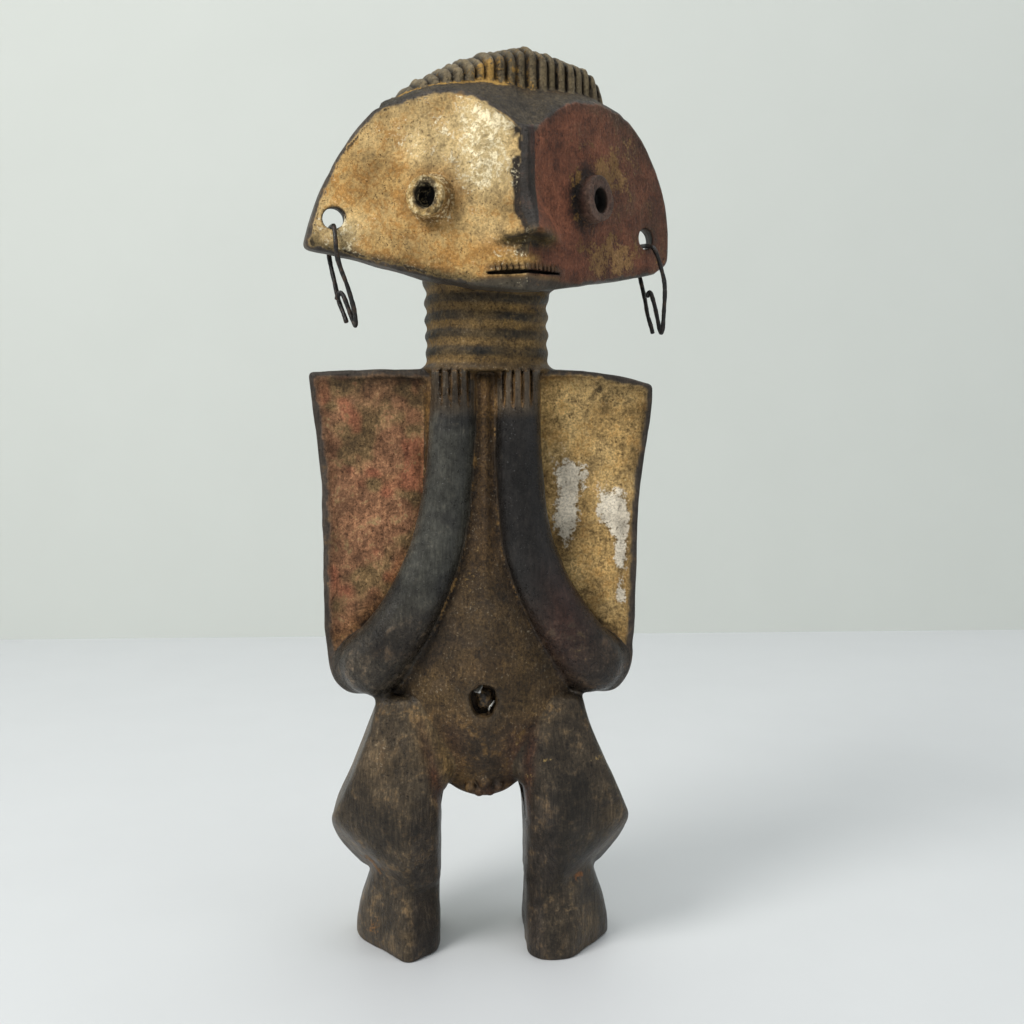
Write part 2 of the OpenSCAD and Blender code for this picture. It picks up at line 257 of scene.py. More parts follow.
def nose_field(u, v, z):
    """The ridge strip and the low flared nose at its foot."""
    u = u - 2.6 * np.clip((334 - z) / 16, 0, 1)
    width, reach = curve(z, NOSE_WIDTH), curve(z, NOSE_REACH)
    blunt = np.sqrt(u * u + 3.2) - 1.4
    front = (-RIDGE_REACH - reach + (FACE_SLOPE + reach / width) * blunt - v) * 0.6
    under = (312.4 + 0.05 * np.abs(u) + (-RIDGE_REACH - 2 - v) * 0.25 + 0.5 * np.cos(u * 0.5)) - z
    return all_of(1.4, front, under * 0.9, z - 357, v + 40)


BROW_TOP = [(-56, 367.5), (-38, 375.4), (-30, 377.6), (-15, 380.4), (-4, 379.4), (6, 377.4), (17, 379.0),
            (26, 379.2), (36, 377.3), (44, 374.6), (56, 369)]


def brow_surface(u, v):
    """Height of the smooth band that slopes up from the panels' top edges to the hair."""
    behind = v + RIDGE_REACH - FACE_SLOPE * np.abs(u)
    edge = np.where(u < 0, curve(-u, FACE_TOP_RIGHT), curve(u, FACE_TOP_LEFT))
    steep = 1.08 - 0.45 * np.clip(np.abs(u) / 27, 0, 1)
    return smooth_min(edge + 0.3 + steep * behind, curve(u, BROW_TOP) + 0.1 * (v + 31), 3.0)


def hair_front(u):
    """How far forward the hair comes, in plan."""
    return smooth_max(-32.5 + 0 * u, FACE_SLOPE * np.abs(u) - 47.5, 6.0)


HAIR_TOP = [(-62, 358.5), (-50, 370), (-44.7, 374.5), (-36, 380.2), (-27.6, 384.8), (-19, 388.6),
            (-10, 392.4),
            (-1.5, 395.4), (5, 396.8), (12, 396.7), (18.6, 395.4), (25.4, 393.4), (32.3, 391.2), (39,
                                                                                                  388.8),
            (44, 385.6), (48, 381.5), (54, 370)]
HAIR_PEAK = 396.8  # the highest of them


def dome_distance(u, v, z):
    """Signed distance above the crown, which falls away to the sides, the front and the back."""
    back = np.clip(np.abs(v + 2), 0, DOME_R - 3)
    top = curve(u, HAIR_TOP) + CROWN_Z - HAIR_PEAK - DOME_R + np.sqrt(DOME_R ** 2 - back ** 2)
    return (z - top) * 0.8


def plan_distance(u, v):
    """Distance from the skull's middle in plan, its wider way counted less."""
    return np.hypot((u - 2) / SKULL_WIDE, v + 2)


def cord_place(u, z):
    """The number of the nearest cord of hair, and the distance from its middle."""
    w = u + 0.06 * (z - 380) * np.clip((u - 5) / 40, -1, 1)
    index = np.clip(np.floor(w / BRAID_PITCH + 0.5), FIRST_CORD, LAST_CORD)
    return index, w - index * BRAID_PITCH


def hair_field(u, v, z):
    """Cords of hair that run from the brow over the crown to the nape."""
    index, offset = cord_place(u, z)
    number = index.astype(np.int64)
    high, start = (lattice(number, number * 0, number * 0, seed) - 0.5 for seed in (5, 9))
    wander = 0.3 * noise(u * 0 + index * 7.3, v, z, 8.0, 3)
    cord = np.sqrt(np.clip(1 - ((offset + wander) / (BRAID_PITCH * 0.49)) ** 2, 0, 1))
    edge = SKULL_R - 2.0
    relief = 3.3 * cord + 1.5 * high + 0.5 * noise(index * 5.1, v, z, 3.5, 6) * cord
    dome = dome_distance(u, v, z) - (relief - 4.0) * 0.8
    plan = plan_distance(u, v)
    side = plan - (edge + relief * 0.9)
    taper = np.hypot(plan + 46, z - 352) - (46 + edge + relief * 0.9)
    front = (hair_front(u) + 1.6 + 2.4 * start - 2.4 * cord) - v
    line_z = 376 - 0.53 * (v + 34) + 2.4 * start
    line_z = np.where(v < -24, brow_surface(u, v) - 3, line_z)
    return all_of(2.2, dome, side, taper, front, line_z - z) * 0.8


def skull_field(u, v, z):
    """The skull under the hair."""
    plan = plan_distance(u, v)
    taper = np.hypot(plan + 38, z - 352) - (38 + SKULL_R - 0.9)
    below_brow = np.where(v < -20, (z - brow_surface(u, v) + 1.2) * 0.6, -9)
    return all_of(3.0, dome_distance(u, v, z) + 3.2, plan - SKULL_R + 0.9, taper,
                  293.5 + 0.1 * np.abs(u) - z, below_brow)


def brow_field(u, v, z):
    """The smooth dark band between the panels' top edges and the hair."""
    over = (z - brow_surface(u, v)) * 0.7
    reach = plan_distance(u, v) - (SKULL_R + 4)
    return all_of(1.6, over, reach, v - hair_front(u) - 4, 350 - z)


def mouth_distance(u, z):
    """Distance from the line of the mouth's slit, seen from the front."""
    return np.hypot(z - MOUTH_Z - MOUTH_TILT * u, np.maximum(np.abs(u - MOUTH_U) - MOUTH_HALF, 0) * 0.5)


def head_parts(x, y, z):
    """Fields of the head's regions, by name."""
    u, v = head_frame(x, y)
    front = face_front(u, v)
    back = face_back(u, v)
    warp = 0.5 * noise(u, v, z, 14.0, 11)
    parts = {}
    holes = None
    for side, name, ear_z in ((-1, "right", RIGHT_EAR_Z), (1, "left", LEFT_EAR_Z)):
        slab = all_of(2.2, front, back, panel_outline(u, z, side) + 0.6 * warp, -u * side - 0.5)
        flare = 0.6 * np.clip(-front / 7, 0, 1)
        hole = (np.hypot((u - side * EAR_U) * (1.08 if side < 0 else 1.0), z - ear_z) - EAR_R - flare) * 0.9
        parts[name + "_face"] = smooth_max(slab, -hole, 1.6)
        holes = hole if holes is None else np.minimum(holes, hole)
    parts["skull"] = smooth_max(skull_field(u, v, z), front + 2.0, 2.0)
    parts["brow"] = smooth_max(brow_field(u, v, z), front, 3.0)
    parts["hair"] = hair_field(u, v, z)
    parts["nose"] = nose_field(u, v, z)
    cuts = []
    for side, name, shape in ((-1, "right_eye", RIGHT_EYE), (1, "left_eye", LEFT_EYE)):
        tube, hole = eye_field(u, v, z, side, shape)
        parts[name] = smooth_max(tube, -hole, 0.8)
        cuts.append(hole)
    reach = np.clip(1 - ((u - MOUTH_U) / 18.5) ** 2, 0, 1)
    lips = 1.5 * np.exp(-((z - 299.2 - MOUTH_TILT * u) / 3.2) ** 2) * reach ** 0.5
    slit = np.maximum(mouth_distance(u, z) - 0.3 - 0.45 * reach, -(front + 3.2))
    notches = np.abs((u + 100.3) % 2.1 - 1.05) - 0.3 + 0.15 * noise(u, v, z, 3.0, 12)
    notches = all_of(0.3, notches, np.abs(z - 301.2) - 1.5, np.abs(u - MOUTH_U) - 13, -(front + 0.1))
    for name in ("right_face", "left_face"):
        parts[name] = parts[name] - lips * np.clip(1 - np.abs(front) / 4, 0, 1)
        for cut in (slit, notches, *cuts):
            parts[name] = smooth_max(parts[name], -cut, 0.9)
    for name in ("skull", "brow"):
        parts[name] = np.maximum(parts[name], -holes)
    return parts


# ---------------------------------------------------------------- neck, shoulders, arms and body

# the plates' outer edge and top edge, then the arms' middle line as height, across, back and radius
PLATE_OUT = [(112, 54), (117, 60.5), (122, 64), (128, 66.6), (136, 69), (160, 70.4), (200, 70.6), (226, 72),
             (250, 75), (262, 76)]
PLATE_SHRINK_LEFT = [(120, 1.5), (165, 1.0), (202, 0.2), (235, -2.0), (256, -0.6), (262, 0)]
PLATE_TOP_RIGHT = [(20, 260.6), (40, 260.5), (60, 260), (78, 259)]
PLATE_TOP_LEFT = [(20, 260), (30, 260.6), (52, 259.2), (66, 256.6), (78, 253.6)]
ARM_LINE = [(262, 13.0, -17.6, 10.0), (238, 13.6, -19.0, 10.1), (212, 15.2, -20.2, 10.6),
            (188, 18.6, -21, 11.4),
            (169, 25.0, -21, 12.2), (152, 33.4, -20, 13.0), (139, 42.5, -18, 13.4),
            (131.5, 49.5, -15.5, 13.6)]
ARM_BALLS = 22
ARM = [tuple(float(curve(t, [(i, p[k]) for i, p in enumerate(ARM_LINE)])) for k in (1, 2, 0, 3))
       for t in np.linspace(0, len(ARM_LINE) - 1, ARM_BALLS)]
ELBOW = [(46, -13, 131.8, 12.8), (56, -7, 128.6, 8.8)]
HAND_SHIFT = {-1: -1.1, 1: 2.1}
HAND_U, HAND_HALF, WRIST_Z = 13.0, 8.8, 243
FINGER_PITCH, FINGER_DEPTH = 3.9, 1.7
NECK_R, NECK_FOOT_Z, RING_Z, RING_PITCH = 27.2, 259.6, 268, 7.6


def neck_wave(x, y, z):
    """1 on the neck's rings and -1 in the grooves between them."""
    return np.cos((z - RING_Z) * 2 * math.pi / RING_PITCH + 1.2 * noise(x, y, z, 22, 4))


def neck_field(x, y, z):
    away = np.hypot(x - NECK_X, y)
    ring = 0.42 * neck_wave(x, y, z) * (1 + 0.6 * noise(x, y, z, 12, 14))
    ledge = 1.2 * np.exp(-((z - 261) / 2.2) ** 2)
    return all_of(1.0, away - (NECK_R + ring + ledge), z - 300, NECK_FOOT_Z - z)


def plate_parts(x, y, z, side):
    """One shoulder plate: a thick board with a rim and a sunk panel."""
    u = x * side
    top = PLATE_TOP_RIGHT if side < 0 else PLATE_TOP_LEFT
    shrink = 0.0 if side < 0 else curve(z, PLATE_SHRINK_LEFT)
    outer = (u - curve(z, PLATE_OUT) + shrink) * 0.98
    above = z - curve(u, top)
    below = (126 - 0.55 * np.clip(u - 40, 0, 40) + 12 * np.exp(-((u - 70) / 9) ** 2)) - z
    front = -11.0 - 0.5 * noise(x, z * 0, z, 25.0, 8) - y
    back = y - (9.5 + 7.0 * np.clip(1 - (u - 24) / 40, 0, 1) ** 2)
    board = all_of(2.2, outer, above, below, front, back, 16 - u)
    ragged = 0.5 * noise(x, y * 0, z, 9.0, 7)
    inset = all_of(3.0, outer + 2.6 + ragged, above + 2.2 + ragged, (131 - 0.3 * (60 - u)) - z)
    sunk = smooth_max(inset * 0.45 + 0.6, y - (-9.4 + 2.2 * np.clip(1 - (u - 24) / 30, 0, 1)), 2.0)
    return smooth_max(board, -sunk, 1.0), -inset


def arm_field(x, y, z, side):
    """A forearm from its elbow up to the hand, with grooves cut between the fingers."""
    u = x * side
    shift = HAND_SHIFT[side] * np.clip((z - 185) / 60, 0, 1)
    limb = capsule_chain(u - shift, y, z, ARM, flat=0.95)
    elbow = capsule_chain(u, y, z, ELBOW, flat=0.95)
    limb = smooth_max(smooth_min(limb, elbow, 7.0), z - 259.8, 1.2)
    groove = np.abs((u - shift - HAND_U + FINGER_PITCH * 20) % FINGER_PITCH - FINGER_PITCH / 2)
    depth = FINGER_DEPTH * np.clip((z - 244.5 - 1.4 * np.cos(u * 1.7)) / 7, 0, 1) ** 0.5
    cut = np.clip(1 - groove / 0.85, 0, 1) * depth
    on_front = np.clip((-y - 14) / 5, 0, 1) * (np.abs(u - shift - HAND_U) < HAND_HALF)
    return limb + cut * on_front * (z > WRIST_Z)


def torso_field(x, y, z):
    """The body board, its crested front, the seat behind and the beads carved under the belly."""
    half = curve(z, [(69, 6), (73, 12), (78, 17.6), (88, 21.5), (97, 27), (106, 36), (113, 43), (118, 42.5),
                     (126, 38), (140, 31), (165, 27), (262, 26)])
    front = curve(z, [(69, -15), (74, -21), (84, -28), (97, -33), (112, -36), (124, -36), (142, -33.5),
                      (165, -29), (190, -25.5), (225, -22.5), (262, -21)])
    back = curve(z, [(69, 12), (76, 19), (90, 30), (104, 34), (124, 30), (150, 21), (190, 19.5), (240, 25),
                     (262, 27)])
    spread = np.abs(x - 1.0)
    fall = 0.26 * np.sqrt(spread ** 2 + 9) - 0.78 + 0.0075 * spread ** 2
    crest = 1.3 * np.exp(-(spread / 2.2) ** 2) * np.clip((z - 150) / 40, 0, 1)
    spine = 2.2 * np.exp(-(x / 5) ** 2) * np.clip((z - 110) / 20, 0, 1) * np.clip((250 - z) / 20, 0, 1)
    body = all_of(5.0, (np.abs(x) - half) * 0.93, (front + fall - crest - y) * 0.93,
                  (y - back + 0.007 * x * x + spine) * 0.95, z - SHOULDER_Z, 68.6 - z)
    seat = np.sqrt(((np.abs(x) - 20) / 1.05) ** 2 + (y - 16) ** 2 + (z - 97) ** 2) - 20.5
    body = smooth_min(body, seat, 7.0)
    for dx, dz, r in ((-5.4, 76.4, 2.6), (-1.6, 74.8, 2.8), (2.8, 75.0, 2.7), (6.6, 77.2, 2.4),
                      (0.8, 79.4, 3.2)):
        bead = np.sqrt((x - dx) ** 2 + (y + 22.2 + (dz - 74) * 0.55) ** 2 + (z - dz) ** 2) - r
        body = smooth_min(body, bead, 1.6)
    return body


def navel_hollow(x, y, z):
    """The ragged hole in the belly."""
    ragged = 0.9 * noise(x, y, z, 3.0, 21)
    rim = np.hypot(x / 5.7, (z - 117.8) / 7.0) * 6.0 - 6.0 + ragged
    return np.maximum(rim, y - (-26.5))


def groin_crease(x, y, z):
    """How near the points lie to the crease between belly and thigh, from 0 to 1."""
    from_crease = np.abs(x) - np.where(x < 0, 19.5 + 0.27 * (z - 76), 18.5 + 0.12 * (z - 76))
    return np.exp(-(from_crease / 2.4) ** 2) * np.clip((110 - z) / 16, 0, 1) * (y < -8) * (z > 60)


# ---------------------------------------------------------------- legs


def leg_field(x, y, z, side):
    """Thigh down to a pointed knee that overhangs a flared calf and foot."""
    u = x * side
    left = side > 0
    # the thigh
    out = curve(z, [(28, 60), (59, 68.2), (75, 61.2), (89, 55), (104, 49.5), (114, 47), (124, 45)])
    if left:
        out = out - curve(z, [(40, 1.2), (60, 1.6), (80, 1.0), (110, 2.0)])
    inner = curve(z, [(30, 19.5), (54, 19.6), (66, 18.4), (76, 16), (90, 10), (110, 4)])
    ridge_y = curve(z, [(30, -29), (42, -33.5), (52, -36.5), (62, -37.5), (75, -35.5), (90, -31.5),
                        (105, -27),
                        (118, -23)])
    slope_out = curve(z, [(40, 0.42), (60, 0.36), (90, 0.26), (110, 0.2)])
    spread = u - 31.0
    soft = curve(z, [(30, 2), (58, 3), (76, 8), (95, 16), (118, 20)])
    fold = np.sqrt(spread ** 2 + soft ** 2) - soft
    turn = np.where(spread > 0, slope_out + 0.004 * spread, 0.5)
    front = (ridge_y + turn * fold - y) * 0.9
    back_y = curve(z, [(30, 13), (44, 15), (60, 23), (78, 31), (98, 34), (112, 31), (124, 27)])
    back = (y - back_y + 0.012 * (u - 36) ** 2) * 0.93
    bevel = (inner + 4.5 - u) * 0.6 + (ridge_y + 8.5 - y) * 0.75 - 1.0 - 6 * np.clip((z - 74) / 20, 0, 1)
    under = 0.638 * (u - 50) - 0.4445 * (y + 10) - 0.6276 * (z - 36.7)
    thigh = all_of(4.0, (u - out) * 0.93, (inner - u), front, bevel, back, z - 117)
    thigh = all_of(3.5, thigh, under, 30 - z)

    # the calf and foot
    out = curve(z, [(0, 58.6), (5, 58.4), (14, 57), (30, 52), (40, 48.5), (50, 46)])
    ridge_y = curve(z, [(0, -32.6), (5, -32.8), (12, -31.2), (22, -28), (36, -27), (60, -30)])
    ridge_u, blunt, outer_gap, inner_gap = (30.0, 0.10, 8, 4) if left else (33.0, 0.25, 2, 1)
    spread = u - ridge_u
    face_out = (ridge_y + blunt * spread - y)
    side_out = (ridge_y + curve(z, [(0, 1.32), (20, 1.0), (45, 0.8)]) * (spread - outer_gap) - y) * 0.66
    face_in = (ridge_y - 1.0 * (spread + inner_gap) - y) * 0.7
    back_y = curve(z, [(0, 24), (6, 24), (14, 19), (28, 14), (50, 14)])
    back = y - back_y + 0.02 * (u - 38) ** 2
    calf = all_of(4.0, (u - out), (19.6 - u), face_out, side_out, face_in, back, z - 60)
    calf = smooth_max(calf, -0.15 - z, 1.6)
    return smooth_min(thigh, calf, 2.4)


# ---------------------------------------------------------------- the whole carving

REGIONS = ["skull", "hair", "right_face", "left_face", "brow", "nose", "right_eye", "left_eye", "neck",
           "torso", "right_shoulder", "left_shoulder", "right_forearm", "left_forearm", "right_leg",
           "left_leg"]
FAR = 30.0
# the regions in the order in which they join, and how softly each joins those before it
BLEND = {"torso": 3.0, "right_leg": 2.4, "left_leg": 2.4, "right_shoulder": 2.0, "left_shoulder": 2.0,
         "right_forearm": 1.6, "left_forearm": 1.6, "neck": 2.6, "skull": 6.0, "right_face": 1.0,
         "left_face": 1.0, "brow": 2.0, "hair": 0.8, "nose": 1.6, "right_eye": 1.0, "left_eye": 0.8}


def parts_at(x, y, z):
    """Every region's field at the points, FAR where a region can't reach."""
    fields = {name: np.full(x.shape, FAR) for name in REGIONS}
    upper = z > 270
    if upper.any():
        for name, field in head_parts(x[upper], y[upper], z[upper]).items():
            fields[name][upper] = field
    mid = (z > 246) & (z < 304)
    fields["neck"][mid] = neck_field(x[mid], y[mid], z[mid])
    body = (z > 60) & (z < 272)
    bx, by, bz = x[body], y[body], z[body]
    fields["torso"][body] = torso_field(bx, by, bz)
    for side, name in SIDES:
        fields[name + "_shoulder"][body] = plate_parts(bx, by, bz, side)[0]
        fields[name + "_forearm"][body] = arm_field(bx, by, bz, side)
    low = z < 130
    for side, name in SIDES:
        fields[name + "_leg"][low] = leg_field(x[low], y[low], z[low], side)
    return fields


def carve(x, y, z):
    """Signed distance to the carving and the region that each point belongs to."""
    fields = parts_at(x, y, z)
    total = None
    nearest = np.full(x.shape, 1e9)
    region = np.zeros(x.shape, int)
    for name, soft in BLEND.items():
        field = fields[name]
        if name.endswith("forearm"):
            soft = soft + (3.0 + 4.0 * np.clip((np.abs(x) - 46) / 10, 0, 1)) * np.clip((150 - z) / 16, 0, 1)
        total = field if total is None else smooth_min(total, field, soft)
        closer = field < nearest
        region = np.where(closer, REGIONS.index(name), region)
        nearest = np.where(closer, field, nearest)
    torso_zone = (z > 100) & (z < 135) & (np.abs(x) < 12)
    total = np.where(torso_zone, smooth_max(total, -navel_hollow(x, y, z), 0.8), total)
    total = total + 1.5 * groin_crease(x, y, z)
    smooth_zone = np.where(region == REGIONS.index("hair"), 0.3, 1.0)
    total = total + smooth_zone * (0.32 * noise(x, y, z * 0.6, 9.0, 1)
                                   + 0.10 * noise(x, y, z * 0.7, 3.2, 2))
    return total, region


BLOCK = 4  # fine samples along a side of one coarse sample
BATCH = 12000  # coarse samples refined at a time


def sample_field(low, high, step):
    """Samples the carving on a grid, finely only where its surface may pass."""
    big = step * BLOCK
    count = np.ceil((high - low) / big).astype(int)
    centre = [low[a] + big * (np.arange(count[a]) + 0.5) - step / 2 for a in range(3)]
    gx, gy, gz = np.meshgrid(*centre, indexing="ij")
    rough, _ = carve(gx.ravel(), gy.ravel(), gz.ravel())
    rough = rough.reshape(gx.shape)
    field = np.empty((count[0], BLOCK, count[1], BLOCK, count[2], BLOCK), np.float32)
    field[...] = np.where(rough < 0, -big, big)[:, None, :, None, :, None]
    near = np.argwhere(np.abs(rough) < big * 1.35)
    inner = step * np.arange(BLOCK)
    for start in range(0, len(near), BATCH):
        cells = near[start:start + BATCH]
        px = low[0] + big * cells[:, 0, None, None, None] + inner[None, :, None, None]
        py = low[1] + big * cells[:, 1, None, None, None] + inner[None, None, :, None]
        pz = low[2] + big * cells[:, 2, None, None, None] + inner[None, None, None, :]
        px, py, pz = np.broadcast_arrays(px, py, pz)
        value, _ = carve(px.ravel(), py.ravel(), pz.ravel())
        field[cells[:, 0], :, cells[:, 1], :, cells[:, 2], :] = value.reshape(px.shape)
    return field.reshape(*(count * BLOCK))


def surface_net(field, low, step):
    """Vertices and quads of the zero surface: one vertex in each cell that the surface crosses."""
    inside = field < 0
    corner = [(a, b, c) for a in (0, 1) for b in (0, 1) for c in (0, 1)]
    shape = tuple(n - 1 for n in field.shape)

    def part(array, a, b, c):
        return array[a:a + shape[0], b:b + shape[1], c:c + shape[2]]

    filled = sum(part(inside, *k).astype(np.uint8) for k in corner)
    mixed = (filled > 0) & (filled < 8)
    cells = np.argwhere(mixed)
    number = np.full(shape, -1, np.int32)
    number[mixed] = np.arange(len(cells))
    value = np.stack([field[cells[:, 0] + a, cells[:, 1] + b, cells[:, 2] + c] for a, b, c in corner], 1)
    place = np.zeros((len(cells), 3))
    hits = np.zeros(len(cells))
    for i, first in enumerate(corner):
        for j, second in enumerate(corner):
            apart = [second[n] - first[n] for n in range(3)]
            if sum(apart) != 1 or min(apart) < 0:
                continue
            cross = (value[:, i] < 0) != (value[:, j] < 0)
            share = np.where(cross, value[:, i] / np.where(cross, value[:, i] - value[:, j], 1), 0)
            for n in range(3):
                place[:, n] += np.where(cross, first[n] + share * apart[n], 0)
            hits += cross
    points = low + step * (cells + place / hits[:, None])
    quads = []
    for axis in range(3):
        b, c = (axis + 1) % 3, (axis + 2) % 3
        one = [slice(0, n - 1) for n in field.shape]
        two = list(one)
        two[axis] = slice(1, field.shape[axis])
        change = inside[tuple(one)] != inside[tuple(two)]
        edges = np.argwhere(change)
        edges = edges[(edges[:, b] > 0) & (edges[:, c] > 0)]
        around = []
        for db, dc in ((-1, -1), (0, -1), (0, 0), (-1, 0)):
            cell = edges.copy()
            cell[:, b] += db
            cell[:, c] += dc
            around.append(number[cell[:, 0], cell[:, 1], cell[:, 2]])
        quad = np.stack(around, 1)
        starts_inside = inside[edges[:, 0], edges[:, 1], edges[:, 2]]
        quad[~starts_inside] = quad[~starts_inside][:, ::-1]
        quads.append(quad)
    return points, np.concatenate(quads)


def gradient(points, reach):
    """Direction in which the field rises fastest, by differences over reach."""
    out = np.zeros_like(points)
    for axis in range(3):
        ahead, behind = points.copy(), points.copy()
        ahead[:, axis] += reach
        behind[:, axis] -= reach
        out[:, axis] = (carve(*ahead.T)[0] - carve(*behind.T)[0]) / (2 * reach)
    return out


def carved_surface():
    """Vertices, quads and normals of the carving, and each quad's region."""
    margin = 4
    low = np.array(cad_box[0]) / MM - [AXIS_X, AXIS_Y, 0] - margin
    high = np.array(cad_box[1]) / MM - [AXIS_X, AXIS_Y, 0] + margin
    field = sample_field(low, high, STEP)
    points, quads = surface_net(field, low, STEP)
    for _ in range(2):
        slope = gradient(points, STEP * 0.4)
        value, _ = carve(*points.T)
        length2 = np.maximum((slope ** 2).sum(1), 0.05)
        move = slope * (value / length2)[:, None]
        size = np.linalg.norm(move, axis=1)
        move *= np.minimum(1, STEP * 0.6 / np.maximum(size, 1e-9))[:, None]
        points = points - move
    points[:, 2] = np.maximum(points[:, 2], 0)
    normals = gradient(points, STEP * 0.35)
    normals /= np.maximum(np.linalg.norm(normals, axis=1), 1e-9)[:, None]
    _, region = carve(*points[quads].mean(1).T)
    return points, quads, normals, region


# ---------------------------------------------------------------- paint, dirt, wear and painted shade, point by point


def shade(red, green, blue):
    """A linear colour from its 0 to 255 display values."""
    c = np.array([red, green, blue]) / 255
    return np.where(c <= 0.04045, c / 12.92, ((c + 0.055) / 1.055) ** 2.4)


def fade(value, start, end):
    """Rises smoothly from 0 at start to 1 at end (start may be the larger)."""
    f = np.clip((value - start) / (end - start), 0, 1)
    return f * f * (3 - 2 * f)


def spot(across, up, wide, tall):
    """A soft round spot, 1 at its middle."""
    return np.exp(-(across / wide) ** 2 - (up / tall) ** 2)


class Paint:
    """What the skin is coated with: two colours that mottle together, specks, dirt, painted shade and
    gloss.
    """

    TINTS = ("tint", "tint2", "tint3")
    BARE = {"mottle": 0.35, "light": 0.1, "dark": 0.25, "rough": 0.55, "grain": 0.5, "crust": 0.3,
            "flakes": 0.0}

    def __init__(self, count):
        self.tint = np.zeros((count, 3)) + shade(64, 54, 45)
        self.tint2 = np.zeros((count, 3)) + shade(96, 74, 46)
        self.tint3 = self.tint2.copy()
        for name, value in self.BARE.items():
            setattr(self, name, np.full(count, value))

    def coat(self, weight, tint=None, tint2=None, **plain):
        """Lays a coat over what is there, as thick as weight, from 0 to 1."""
        w = weight[:, None]
        if tint is not None:
            self.tint = self.tint * (1 - w) + shade(*tint) * w
        if tint2 is not None:
            self.tint2 = self.tint2 * (1 - w) + shade(*tint2) * w
        for name, value in plain.items():
            setattr(self, name, getattr(self, name) * (1 - weight) + value * weight)

    def flake(self, weight, colour):
        """Ragged flakes of one colour, closed where weight is 1 and scattered where it is less."""
        over = (weight > self.flakes) & (weight > 0.04)
        self.flakes = np.where(over, weight, self.flakes)
        self.tint3[over] = shade(*colour)


